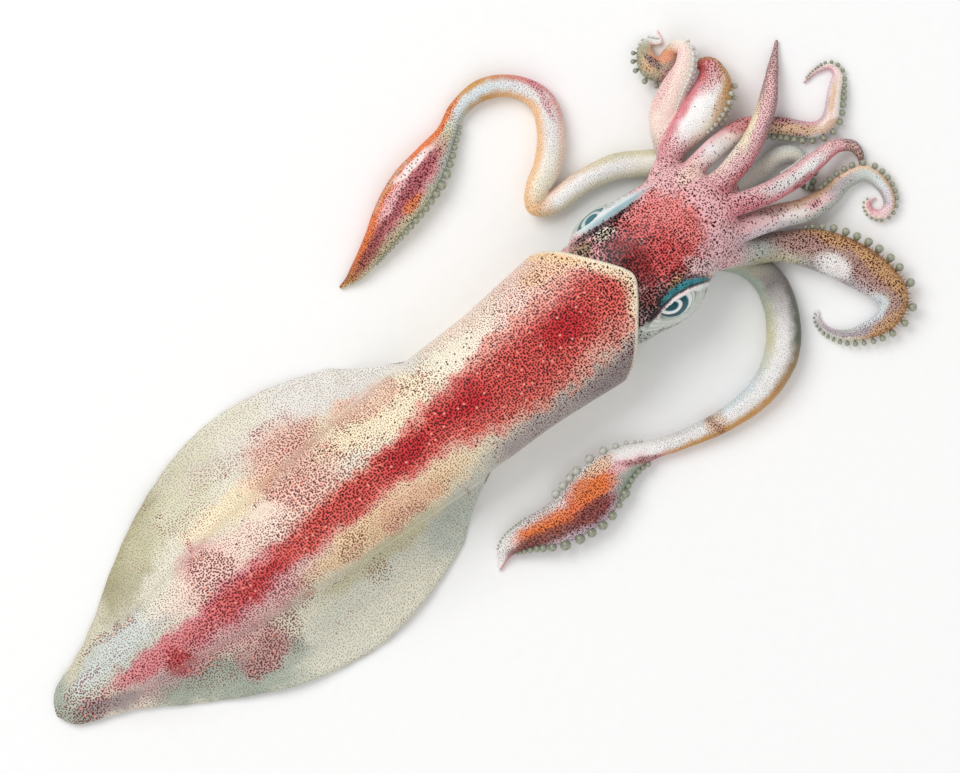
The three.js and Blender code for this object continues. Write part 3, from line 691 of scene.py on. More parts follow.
def mantlePaint(points, zones):
    # colours by place: pale fins and belly, ragged patches over the back from the tables above, a crimson
    # band down the midline, warm flanks ahead of the fins, a yellow band behind the rim and a pale lip;
    # painted shade greys the right fin and right front flank, and a painted highlight runs along the tail's
    # ridge
    x, y, z = points[..., 0], points[..., 1], points[..., 2]
    level = np.stack([x, y, np.zeros_like(x)], -1)
    px = wandered(level, x, mantle["wanderX"])
    py = wandered(level, y, mantle["wanderY"])
    mottle = clouds(level, *mantle["mottle"])
    speckle = clouds(level, *mantle["speckle"])
    halfWidth, height = tubeSize(np.clip(x, 0, tubeEnd))
    span = finReach(np.clip(x, -2.4, 150))
    sideShare = np.abs(y) / np.maximum(halfWidth, 1)
    front = smoothStep(146, 172, px - 0.6 * (y - 4) * (y > 4))
    edgeBand = smoothStep(9, 1, span - np.abs(y)) * (x < 150)
    ground = layered(
        named("finCream"),
        ("olive", 0.30 * edgeBand * (y > 0) * smoothStep(100, 60, x)),
        ("blush", 0.9 * smoothStep(148, 160, px) * smoothStep(-9, 2, y)),
        ("salmon", 0.6 * front * smoothStep(15, 7, np.abs(py + 3))),
    )
    for colour, strength, *spot in mantle["ground"]:
        cover = broken(patch(px, py, spot, 0.5), mantle["groundBreak"] * speckle, 0.05)
        ground = over(ground, colour, strength * cover * (0.85 + 0.25 * mottle))
    midline = through(mantle["midline"], x)[..., 0]
    bandWidth, bandStrength = np.moveaxis(through(mantle["band"], x), -1, 0)
    reach = np.abs(np.abs(py - midline) / bandWidth + 0.3 * speckle)
    core = smoothStep(lerp(2.5, 1.75, smoothStep(65, 95, x)), 0.15, reach) * smoothStep(-4, 24, x)
    core = np.clip(core * (1 + 0.3 * mottle), 0, 1) * bandStrength
    ahead = smoothStep(70, 110, px)
    deep = sum(patch(px, py, spot, 0.6) for spot in mantle["deep"])
    below = smoothStep(0.50, 0.28, z / np.maximum(height, 1)) * (np.abs(y) < halfWidth + 1)
    rimGap = rimPlace(y, z > height * 0.45) - x
    rim = smoothStep(6.0, 2.0, rimGap + 1.8 * mottle + 0.12 * (y < 0) * np.abs(y)) * (x > 150)
    rim = rim * smoothStep(-14, -7, y)
    lip = smoothStep(1.2, 0.3, rimGap) * (x > 150)
    inside = (zones >= 3)[:, None] * np.ones_like(x)
    ground = layered(
        ground,
        # painted shade: grey lilac and, further forward, the shadow colour darken the right front flank
        ("greyLilac", 0.8 * smoothStep(143, 156, px) * smoothStep(-12, -18, py)),
        ("apricot", 0.6 * patch(px, py, (198, 18, 10, 6))),
        ("greyGreen", 0.8 * smoothStep(6, 0, x - 0.4 * np.abs(y))),
        ("rose", 0.8 * smoothStep(0.05, 0.35, core) * (1 - ahead)),
        ("salmon", 0.9 * smoothStep(0.05, 0.3, core) * ahead),
        ("coral", 0.95 * smoothStep(0.25, 0.75, core)),
        ("crimson", 0.3 * smoothStep(0.7, 1.0, core) + 0.75 * deep),
        ("shadow", 0.6 * smoothStep(176, 190, px) * smoothStep(-13, -20, py)),
        ("cream", 0.6 * below),
        ("yellowCream", 0.9 * rim),
        ("apricot", 0.7 * rim * smoothStep(9, 14, y)),
        ("cream", 0.7 * lip),
        ("cream", inside),
    )

    # how large the fine cells are, as a share of the step between them, and their colour
    onTube = smoothStep(1.25, 0.85, sideShare)
    spots = 0.24 + 0.04 * onTube + 0.08 * front * onTube
    fleck = over(named("greyMauve"), "brownRose", 0.75 * onTube)
    fleck = over(fleck, "greyMauve", smoothStep(136, 146, x) * smoothStep(10, 17, np.abs(y)))
    for colour, strength, *spot in mantle["cells"]:
        cover = broken(patch(px, py, spot, 0.6), mantle["cellBreak"] * speckle, 0.25)
        spots = spots + strength * cover * (0.8 + 0.7 * mottle)
        fleck = over(fleck, colour, 0.85 * cover)
    spots = spots + 0.2 * core * (1 - smoothStep(0.34, 0.48, spots)) + 0.05 * deep
    for share, *spot in mantle["sparse"]:
        spots = spots * lerp(1, share, patch(px, py, spot))
    spots = spots * (1 - 0.25 * rim)
    spots = spots + 0.06 * speckle * onTube + 0.04 * mottle * onTube
    spots = spots * lerp(1, 0.5, np.maximum(lip, inside)) * lerp(1, 0.6, below)
    spots = np.clip(skin["cellShare"] * spots, 0.05, 0.39)
    fleck = layered(
        fleck,
        ("darkCrimson", smoothStep(0.04, 0.4, core)),
        ("deepRed", 0.9 * smoothStep(0.35, 0.9, core) * smoothStep(20, 60, x)),
        ("darkRose", 0.8 * front * smoothStep(0.5, 0.1, core) * smoothStep(20, 15, np.abs(y))),
        ("rust", 0.5 * rim * (1 - lip)),
    )
    shade = lerp(mantle["finShade"], skin["fleckShade"], smoothStep(0.19, 0.27, spots)[..., None])

    # how many of the large dark cells there are
    dark = 0.26 * smoothStep(150, 195, x) * smoothStep(23, 16, np.abs(y)) + 0.2 * rim
    dark = dark + 0.16 * smoothStep(140, 160, x) * smoothStep(-8, -12, y) + 0.03 * onTube
    dark = dark + sum(share * patch(px, py, spot) for share, *spot in mantle["inky"])
    dark = dark * (0.75 + 0.8 * mottle) * (1 - np.maximum(lip, inside)) * (1 - below)
    dark = dark * (1 - patch(px, py, mantle["inkless"]))
    return {"tone": ground, "fleck": fleck * shade, "spots": spots, "dark": dark}


def skinSpread(points):
    # places on the mantle's skin: along the body, and round it from the back's midline, leftwards positive;
    # flat is 0 at the belly's midline, where both ways round meet
    y, z = points[..., 1], points[..., 2]
    parts = np.hypot(np.diff(y, axis=1), np.diff(z, axis=1))
    around = np.concatenate([np.zeros((len(y), 1)), np.cumsum(parts, axis=1)], 1)
    closing = np.hypot(y[:, -1] - y[:, 0], z[:, -1] - z[:, 0])
    whole = (around[:, -1] + closing)[:, None]
    share = np.arange(y.shape[1]) / y.shape[1]
    around = np.where(share < 0.5, around, around - whole)
    spread = np.stack([points[..., 0], around, np.zeros_like(y)], -1)
    return spread, np.broadcast_to(smoothStep(0.01, 0.03, np.abs(share - 0.5)), y.shape)


def makeMantle():
    # the mantle as one piece; each pole looks like the point beside it
    places, zones = mantleSurface()
    looks = mantlePaint(places, zones)
    looks["spread"], looks["flat"] = skinSpread(places)
    tailPole = (-mantle["tailRound"], 0, mantle["tailHeight"])
    floorPole = (mantle["recessFloor"], 0, mantle["height"] / 2)
    points, quads, ends = capped(sway(places, zones), tailPole, floorPole)
    for title, values in looks.items():
        values = values.reshape(len(points) - 2, -1)
        values = np.concatenate([values, values[:1], values[-1:]])
        looks[title] = values if values.shape[1] == 3 else values[:, 0]
    piece = makePiece("mantleSkin", points, quads, ends, looks)
    dress(piece, mantleLook, "mantle_skin", "mantle")
    print("mantle made:", len(quads) * 2 + len(ends), "triangles")


mantleLook = skinMaterial("mantleSkin", skin)
makeMantle()


# Each limb: its stations' x, y, height of the middle and width; its paint, as the share along it, the colours
# on its left edge, middle and right edge as it runs, how much fine cells cover and how many are dark; its
# patches, as colour, strength, spot and what they add to both; its rows of suckers, as the side (1 left, -1
# right), the shares they run between, radii at shares and what is unlike cups["row"]; how far its ground is
# paled, and the share of the fine cells that stays
limbs = {}
limbs["spikeArm"] = {
    "pale": 0.12,
    "stations": [
        (244, 7, 26, 7.2), (254, 6.5, 22.5, 7.2), (261, 7.7, 18, 7.4), (270, 10.8, 11.4, 6.6),
        (279, 16.5, 7, 6), (286, 23, 3.8, 3.8), (293, 29.8, 1, 0.9),
    ],
    "paint": [
        (0.0, "rose rose rose", 0.36, 0.3), (0.2, "blush pink rose", 0.34, 0.15),
        (0.4, "cream pink rose", 0.34, 0.02), (0.55, "yellowCream pink mauve", 0.34, 0.0),
        (0.75, "mauve pink mauve", 0.36, 0.0), (1.0, "mauve mauve mauve", 0.4, 0.0),
    ],
    "patches": [
        ("crimson", 0.3, 256, 4.2, 9, 1.5, 4, 0.06, 0.1), ("yellowCream", 0.9, 270, 14, 8, 1.5, 38, -0.06, 0),
    ],
}
limbs["crossingArm"] = {
    "pale": 0.28,
    "cells": 0.7,
    "stations": [
        (245, 14, 21.5, 5.6), (254, 15, 16.5, 6.6), (262, 15.4, 10, 6.8), (270, 14.6, 4.4, 6.2),
        (278, 9, 2.8, 5.6), (286, 1.4, 2.5, 5.1), (291, 1.2, 2.5, 5.1), (298, 7.4, 2.2, 4.5),
        (301.6, 11, 1.6, 3), (301.2, 14, 1.2, 2), (297, 15.2, 1, 1.3), (292, 14.8, 0.8, 0.6),
    ],
    "paint": [
        (0.0, "rose pink rose", 0.36, 0.3), (0.1, "pink white white", 0.24, 0.12),
        (0.2, "rose blush white", 0.26, 0.12), (0.27, "coral rose cream", 0.36, 0.3),
        # the olive on its right edge at 0.36, where it passes under the spike arm, is a painted shadow line
        (0.36, "maroon ochre olive", 0.36, 0.35), (0.44, "rose ochre blueWhite", 0.34, 0.2),
        (0.52, "mauve blush blueWhite", 0.30, 0.02), (0.66, "lilac blush cream", 0.22, 0.02),
        (0.8, "rose pink cream", 0.34, 0.02), (1.0, "mauve mauve rose", 0.36, 0.0),
    ],
    "patches": [
        ("crimson", 0.9, 268, 16.5, 5, 2.6, -35, 0.08, 0.2),
        ("crimson", 0.6, 279.5, 10, 3, 1.6, -40, 0.08, 0.4), ("ochre", 0.85, 279, 6, 7, 1.1, -48, 0, 0.05),
        ("ochre", 0.8, 290, 0, 4, 1.0, 0, 0, 0), ("ochre", 0.8, 296, 6, 6, 0.8, 45, 0, 0),
    ],
    "cups": [
        (-1, 0.31, 0.97, [(0.3, 0.95), (0.4, 1.15), (0.55, 1.1), (0.66, 0.9), (0.8, 0.65), (0.97, 0.35)]),
    ],
}
limbs["broadArm"] = {
    "pale": 0.08,
    "stations": [
        (240, 18.5, 17, 5.6), (247, 22.3, 13, 7.4), (255, 25, 10, 11), (263, 27, 8.6, 12.8),
        (269, 30, 8, 11.6), (272, 35, 7, 7), (271.2, 37, 5, 5), (270.6, 32.5, 2.6, 3.4),
        (268.6, 24.5, 1.2, 1),
    ],
    "paint": [
        (0.0, "rose rose rose", 0.38, 0.3), (0.14, "rose pink pink", 0.34, 0.15),
        (0.25, "rose white cream", 0.26, 0.06), (0.38, "rose white cream", 0.24, 0.04),
        (0.5, "rose white ochre", 0.26, 0.04), (0.62, "crimson pink ochre", 0.34, 0.02),
        (0.72, "crimson coral ochre", 0.40, 0.02), (1.0, "coral rose olive", 0.36, 0.0),
    ],
    "patches": [
        ("crimson", 0.45, 270, 34, 5, 3.4, 50, 0.08, 0), ("ochre", 0.6, 268, 24.5, 8, 2.4, 35, 0.02, 0.2),
        ("white", 0.8, 259, 26.5, 8, 2.6, 25, -0.06, 0),
    ],
    "cups": [
        (-1, 0.3, 0.52, [(0.3, 0.7), (0.5, 0.85)], {"lift": 32, "long": 1.5, "light": 0.6}),
        (-1, 0.36, 0.54, [(0.3, 0.7), (0.5, 0.9)], {"lift": -5, "long": 1.5, "stalk": 1.2, "light": 0.6}),
    ],
}
limbs["foldedArm"] = {
    "pale": 0.2,
    "cells": 0.8,
    "stations": [
        (245, 18, 10, 6), (248, 26, 8.4, 8), (252, 32.5, 8, 8.8), (259, 37, 9.6, 8), (266, 40.5, 10.8, 6.2),
        (269.2, 44.4, 9.5, 4.8), (267.6, 46.4, 6.2, 4.6), (265, 45.3, 3.4, 6.2), (260.4, 43.7, 3.7, 7.2),
        (258.1, 46.7, 3.7, 7.2), (259, 50.6, 2.8, 5.4), (261.8, 53.2, 1.7, 2.8), (265, 51, 1.2, 1.6),
        (266.4, 54, 0.8, 0.6),
    ],
    "paint": [
        (0.0, "oliveCream cream pink", 0.25, 0.0), (0.12, "blush blush blush", 0.26, 0.0),
        (0.25, "blush blush cream", 0.26, 0.0), (0.36, "pink blush cream", 0.26, 0.0),
        (0.42, "apricot blush cream", 0.26, 0.0), (0.5, "rust ochre ochre", 0.30, 0.0),
        (0.6, "olive olive ochre", 0.30, 0.05), (0.7, "olive ochre orange", 0.34, 0.1),
        (0.8, "olive olive ochre", 0.28, 0.0), (0.9, "white white blush", 0.20, 0.0),
        (1.0, "blush pink pink", 0.26, 0.0),
    ],
    "patches": [
        ("maroon", 0.75, 259.6, 47.5, 1.2, 3.6, 10, 0.1, 0.3), ("orange", 0.8, 263.8, 46, 2.4, 1.6, 0, 0, 0),
        ("rose", 0.35, 258, 40, 8, 2, 30, 0.06, 0),
    ],
    "cups": [
        (-1, 0.15, 0.42, [(0.14, 0.55), (0.4, 0.7)], {"lift": 40, "stalk": 0.4, "light": 1.0}),
        (-1, 0.16, 0.42, [(0.14, 0.55), (0.4, 0.7)], {"lift": -5, "stalk": 0.6, "light": 1.0}),
        (1, 0.6, 0.8, [(0.6, 1.0), (0.8, 0.8)], {"stalk": 1.6, "light": 0.3}),
        (1, 0.8, 0.93, [(0.8, 0.5), (0.93, 0.4)], {"light": 0.9}),
    ],
}
limbs["upperArm"] = {
    "stations": [
        (245, 0.6, 26, 6.6), (252, -1.8, 24, 6.6), (262, -4.8, 18.6, 6.6), (272, -6.2, 12.6, 6.4),
        (281, -6, 7.8, 5.6), (288, -6.2, 4.8, 4.2), (292, -9.4, 3.2, 3.5), (292, -13, 1.9, 2.4),
        (290.3, -15.4, 0.9, 0.9),
    ],
    "paint": [
        (0.0, "rose rose rose", 0.36, 0.35), (0.15, "pink pink rose", 0.33, 0.35),
        (0.3, "pink whiteLilac rose", 0.28, 0.25), (0.45, "pink white rose", 0.28, 0.1),
        (0.6, "pink pink rose", 0.34, 0.05), (0.75, "greyMauve pink mauve", 0.36, 0.0),
        (1.0, "greyMauve mauve greyMauve", 0.38, 0.0),
    ],
    "patches": [
        ("rose", 0.6, 256, -4, 6, 2.4, -20, 0.05, 0.1), ("olive", 0.35, 291.5, -11, 2.4, 4, 0, 0.04, 0),
        ("darkRose", 0.4, 274, -8.5, 5, 1.0, 0, 0.04, 0.1),
    ],
    "cups": [
        (1, 0.34, 0.48, [(0.3, 0.5)], {"lift": -10, "light": 0.9}),
    ],
}
limbs["spiralArm"] = {
    "pale": 0.26,
    "cells": 0.7,
    "stations": [
        (240, -5.5, 22, 7.8), (249, -8.6, 18, 7.8), (260, -12, 12, 7.6), (268, -15.4, 7.6, 7.4),
        (276, -17, 4.2, 6.7), (284, -16.2, 2.8, 5.4), (290, -18, 2.6, 5), (292, -24, 2.3, 4.4),
        (290.4, -29.6, 2, 3.8), (287, -31, 1.8, 3.3), (284.4, -28.6, 1.5, 2.6), (285, -25.6, 1.1, 1.8),
        (288, -25.9, 0.8, 0.6),
    ],
    "paint": [
        (0.0, "rose rose greyMauve", 0.36, 0.4), (0.12, "pink pink lilac", 0.34, 0.35),
        (0.22, "ochre blush seaGrey", 0.32, 0.25), (0.32, "ochre pink greyGreen", 0.32, 0.12),
        (0.37, "ochre greyMauve greyGreen", 0.34, 0.08), (0.42, "apricot greyMauve greyGreen", 0.32, 0.04),
        (0.5, "apricot seaGrey greyGreen", 0.30, 0.0), (0.58, "ochre blueWhite greyMauve", 0.30, 0.02),
        (0.66, "ochre lilac greyMauve", 0.34, 0.02), (0.74, "blush pink pink", 0.30, 0.0),
        (0.86, "cream rose rose", 0.32, 0.0), (1.0, "blush rose pink", 0.32, 0.0),
    ],
    "patches": [
        ("rust", 0.7, 260, -9.8, 5, 1.2, -30, 0.06, 0.2),
        ("crimson", 0.6, 271.5, -16, 2.2, 1.3, 0, 0.06, 0.4), ("white", 0.6, 266, -15, 6, 1.0, -20, -0.04, 0),
    ],
    "cups": [
        (1, 0.34, 0.95, [(0.3, 1.0), (0.5, 1.1), (0.62, 0.85), (0.75, 0.6), (0.95, 0.35)]),
    ],
}
limbs["fringedArm"] = {
    "pale": 0.14,
    "stations": [
        (240, -11.5, 15, 7.2), (248, -15.6, 10.4, 8.4), (256, -20, 6.6, 9.4), (264, -27, 4.9, 12.4),
        (270, -36.5, 4.8, 13.3), (273.4, -45.5, 4.6, 12), (274, -52.5, 4, 9.6), (270, -56.4, 3.2, 7.4),
        (262, -56, 2.4, 5.4), (255.6, -53, 1.7, 3.2), (252.2, -48, 1.2, 2.1), (252.2, -44, 1, 1.5),
        (253.7, -42.5, 0.8, 0.6),
    ],
    "paint": [
        (0.0, "lilac seaGrey seaGrey", 0.34, 0.3), (0.1, "shadow greyGreen olive", 0.28, 0.2),
        (0.18, "brownMauve brownMauve oliveCream", 0.30, 0.3),
        (0.26, "ochre brownMauve greyLilac", 0.34, 0.4), (0.34, "ochre brownMauve greyMauve", 0.34, 0.25),
        (0.42, "ochre brownMauve whiteLilac", 0.32, 0.2), (0.5, "ochre brownMauve oliveCream", 0.36, 0.25),
        # the blue-white on its right edge at 0.58 and 0.66 belongs to the painted highlight at the bend
        (0.58, "ochre brownMauve blueWhite", 0.34, 0.15), (0.66, "ochre greyMauve blueWhite", 0.32, 0.04),
        (0.74, "cream greyMauve seaGrey", 0.30, 0.02), (0.84, "whiteLilac greyMauve lilac", 0.28, 0.0),
        (1.0, "whiteLilac whiteLilac whiteLilac", 0.26, 0.0),
    ],
    "patches": [
        ("brownRose", 0.35, 262, -22, 9, 3, -40, 0.04, 0.25),
        ("white", 0.8, 265, -34.5, 3.6, 5.5, 25, -0.06, -0.2),
        ("brownRose", 0.4, 271.5, -43.5, 4.2, 5.5, 0, 0.04, 0.2),
        ("ochre", 0.8, 276.5, -42, 3.2, 13, 5, 0.02, 0.15), ("ochre", 0.7, 271, -29, 2, 8, 35, 0.0, 0.2),
        # painted highlight at the bend
        ("blueWhite", 0.9, 269.5, -51.5, 2.6, 2.6, 0, -0.08, -0.1),
        ("ochre", 0.7, 266, -58, 9, 1.6, 5, 0.04, 0.1),
    ],
    "cups": [
        (1, 0.22, 0.97, [
            (0.22, 0.7), (0.28, 1.3), (0.5, 1.45), (0.58, 1.2), (0.66, 1.0), (0.75, 0.75), (0.85, 0.5),
            (0.97, 0.3),
        ], {"pitch": 2.5, "stalk": 1.5}),
    ],
}
# the low arm lies under the others: its grey-green is partly painted shade, its pearl-shade edges are painted
# shade and its olive-cream middle is a painted highlight
limbs["lowArm"] = {
    "pale": 0.45,
    "stations": [
        (246, 0.7, 9, 6), (255, 0.6, 5.5, 6.3), (264, 1.4, 3.6, 6.6), (272, 1.9, 3, 6.2),
        (276.5, -1, 2.6, 5.2), (276.5, -7, 2, 3.6), (273.3, -11, 1.1, 1.2),
    ],
    "paint": [
        (0.0, "greyGreen greyGreen pearlShade", 0.22, 0.0),
        (0.4, "greyGreen oliveCream greyGreen", 0.22, 0.0),
        (0.65, "greyGreen oliveCream pearlShade", 0.22, 0.0),
        (1.0, "greyGreen greyGreen greyGreen", 0.24, 0.0),
    ],
    "cups": [
        (1, 0.8, 1.0, [(0.8, 0.9), (1.0, 1.1)], {"light": 0.0}),
        (-1, 0.84, 1.0, [(0.8, 0.8), (1.0, 1.1)], {"light": 0.0}),
    ],
}
limbs["leftTentacle"] = {
    "stations": [
        (247, 19.5, 6.5, 7), (240, 24, 4.4, 8.2), (231, 29.3, 3.9, 8), (220, 31.7, 3.7, 7.2),
        (210, 32, 3.8, 7.2), (205.6, 34.5, 4.8, 6.6), (208.4, 38.2, 6, 7), (215, 41.6, 4.9, 8.5),
        (222, 48.8, 4.1, 8.5), (225.7, 58, 3.8, 8), (222, 66.6, 3.5, 6.9), (214, 71.8, 3.4, 6.8),
        (204, 71.6, 3, 5.7), (197.5, 68.2, 3, 6.2), (190, 65, 3.7, 10.4), (180, 61.7, 4, 13.8),
        (170, 58.4, 4, 12.4), (160, 54.4, 3.3, 8.4), (150, 51, 2.1, 4.8), (144, 50.5, 1, 1.4),
    ],
    "paint": [
        (0.0, "oliveCream cream oliveCream", 0.2, 0.0), (0.1, "cream whiteLilac oliveCream", 0.26, 0.0),
        (0.2, "cream white blush", 0.26, 0.0), (0.26, "apricot apricot apricot", 0.28, 0.0),
        (0.33, "apricot cream cream", 0.24, 0.0), (0.42, "apricot whiteLilac blush", 0.26, 0.0),
        (0.5, "apricot whiteLilac rose", 0.28, 0.0), (0.58, "ochre blueWhite ochre", 0.26, 0.0),
        (0.64, "seaGrey blueWhite ochre", 0.28, 0.0), (0.69, "seaGrey oliveCream orange", 0.30, 0.0),
        (0.75, "seaGrey rose orange", 0.32, 0.06), (0.82, "oliveCream rose orange", 0.34, 0.12),
        (0.9, "oliveCream brownRose orange", 0.36, 0.12), (1.0, "oliveCream ochre rust", 0.34, 0.05),
    ],
    "patches": [
        ("darkRose", 0.6, 179, 61.5, 14, 2.2, 18, 0.08, 0.4), ("pink", 0.7, 172, 62, 8, 1.6, 20, 0, 0),
        ("orange", 0.85, 176, 57.2, 4.2, 1.7, 15, 0.04, 0.1), ("white", 0.8, 183, 66.5, 8, 1.2, 8, -0.1, 0.3),
        ("orange", 0.8, 200, 72.5, 7, 1.8, 22, 0.06, 0.05),
        ("darkRose", 0.55, 157, 54, 9, 1.2, 25, 0.08, 0.3), ("rose", 0.5, 226.5, 60, 1.2, 9, -8, 0.08, 0),
    ],
    "cups": [
        (1, 0.665, 0.92, [
            (0.66, 0.6), (0.69, 1.0), (0.73, 1.2), (0.76, 1.7), (0.79, 1.25), (0.86, 1.1), (0.88, 0.8),
            (0.92, 0.5),
        ]),
    ],
}
limbs["rightTentacle"] = {
    "stations": [
        (240, -12, 8, 7.6), (245, -18, 5.2, 8.4), (247.2, -26, 4.5, 9.6), (244.5, -36, 4.7, 10.3),
        (237, -45.8, 4.7, 10.4), (226, -51, 4.2, 8.8), (212, -51.4, 3.5, 7), (197, -48.2, 3, 5.6),
        (188, -45, 3, 6.2), (181, -43, 3.5, 9.4), (173, -43.2, 4.1, 14), (164.5, -45.4, 4.2, 16.6),
        (153.5, -45.6, 4, 13.4), (143.5, -42.7, 3.3, 9.2), (136, -42.2, 2.4, 5.8), (130.4, -45.7, 1, 1.4),
    ],
    "paint": [
        (0.0, "greyGreen oliveCream greyGreen", 0.2, 0.0), (0.14, "shadow shadow greyGreen", 0.26, 0.0),
        (0.24, "pearlShade whiteLilac oliveCream", 0.24, 0.0),
        (0.34, "ochre whiteLilac blueWhite", 0.26, 0.0), (0.42, "ochre whiteLilac blueWhite", 0.28, 0.0),
        (0.47, "ochre whiteLilac whiteLilac", 0.28, 0.0), (0.54, "pink white white", 0.24, 0.0),
        (0.6, "greyGreen pink white", 0.26, 0.02), (0.66, "greyGreen pink white", 0.32, 0.05),
        (0.72, "lilac coral white", 0.36, 0.1), (0.8, "lilac orange whiteLilac", 0.38, 0.1),
        (0.87, "mauve orange whiteLilac", 0.36, 0.05), (0.93, "mauve whiteLilac white", 0.30, 0.0),
        (1.0, "rose white white", 0.24, 0.0),
    ],
    "patches": [
        ("orange", 1.0, 167, -43, 7.5, 4, -8, 0.02, 0.0), ("darkRust", 0.95, 163, -49, 8, 3, 0, 0.06, 0.3),
        ("orange", 0.7, 151, -43.4, 7.5, 1.5, -6, 0.02, 0),
        ("apricot", 0.7, 172.5, -39.5, 5, 2, 0, 0.04, 0.12),
        ("darkRust", 0.85, 147, -46.6, 11, 2, -14, 0.06, 0.2),
        ("crimson", 0.15, 163, -49.6, 7, 1.8, 0, 0.0, 0.1),
        ("darkRose", 0.6, 184.5, -46, 6, 1.1, -28, 0.08, 0.2),
        ("greyGreen", 0.7, 181, -47.5, 7, 1.6, -20, 0, 0), ("ochre", 0.5, 208.5, -51, 3.4, 5, 0, 0.04, 0),
        ("rust", 0.5, 208.5, -51, 1.2, 5, 8, 0.04, 0), ("white", 0.8, 183, -41.5, 6, 1.6, -15, -0.06, 0),
    ],
    "cups": [
        (1, 0.55, 0.93, [
            (0.55, 0.9), (0.6, 1.05), (0.65, 1.1), (0.665, 1.7), (0.69, 1.0), (0.72, 1.4), (0.75, 1.6),
            (0.81, 1.65), (0.84, 1.3), (0.88, 1.0), (0.92, 0.6),
        ], {"light": 0.25}),
        (-1, 0.55, 0.8, [
            (0.55, 0.6), (0.6, 0.95), (0.65, 1.5), (0.8, 1.45),
        ], {"pitch": 2.7, "light": 0.8}),
        (-1, 0.86, 0.95, [(0.86, 0.42), (0.95, 0.35)], {"pitch": 2.4, "light": 0.5}),
    ],
}


limbSteps = 900  # places along a limb from which the even ones are taken
limbLeast = 0.6  # mm, the least width of a limb
limbFlat = 0.94  # most height of a limb as a share of its width


def frames(stations, shares):
    # middles, directions and half sizes along a limb: a centripetal Catmull-Rom curve through the stations,
    # whose sideways direction stays level and whose half-height is limited by the height above the table
    rows = np.asarray(stations, float)
    points = rows[:, :3]
    last = len(points) - 1
    padded = np.concatenate([2 * points[:1] - points[1:2], points, 2 * points[-1:] - points[-2:-1]])
    i = np.clip(np.floor(np.asarray(shares) * last).astype(int), 0, last - 1)
    t = (np.asarray(shares) * last - i)[:, None]
    p0, p1, p2, p3 = (padded[i + k] for k in range(4))
    knot = [np.sqrt(np.linalg.norm(b - a, axis=1, keepdims=True)) for a, b in ((p0, p1), (p1, p2), (p2, p3))]
    m1 = ((p1 - p0) / knot[0] - (p2 - p0) / (knot[0] + knot[1]) + (p2 - p1) / knot[1]) * knot[1]
    m2 = ((p2 - p1) / knot[1] - (p3 - p1) / (knot[1] + knot[2]) + (p3 - p2) / knot[2]) * knot[1]
    c2 = -3 * p1 + 3 * p2 - 2 * m1 - m2
    c3 = 2 * p1 - 2 * p2 + m1 + m2
    middle = p1 + m1 * t + c2 * t**2 + c3 * t**3
    ahead = unit(m1 + 2 * c2 * t + 3 * c3 * t**2)
    level = unit(np.stack([-ahead[:, 1], ahead[:, 0], np.zeros(len(ahead))], 1))
    turns = np.sign(np.sum(level[1:] * level[:-1], axis=1))
    hand = np.concatenate([[1], np.cumprod(np.where(turns < 0, -1, 1))])
    side = level * hand[:, None]
    up = np.cross(ahead, side)
    widths = np.stack([np.linspace(0, 1, last + 1), rows[:, 3]], 1)
    halfWidth = np.maximum(through(widths, shares)[:, 0], limbLeast) / 2
    halfHeight = np.minimum(limbFlat * halfWidth, np.maximum(middle[:, 2], limbLeast / 2))
    return {"middle": middle, "ahead": ahead, "side": side, "up": up, "a": halfWidth, "b": halfHeight}


def runLength(path):
    # how far along a path each of its points lies
    return np.concatenate([[0], np.cumsum(np.linalg.norm(np.diff(path, axis=0), axis=1))])


def evenFrames(stations, step):
    # the same frames at shares that lie evenly along the limb's length
    fine = np.linspace(0, 1, limbSteps)
    path = frames(stations, fine)["middle"]
    length = runLength(path)
    count = max(int(length[-1] / step), 8)
    shares = np.interp(np.linspace(0, length[-1], count), length, fine)
    made = frames(stations, shares)
    made["share"] = shares
    made["length"] = np.linspace(0, length[-1], count)
    return made


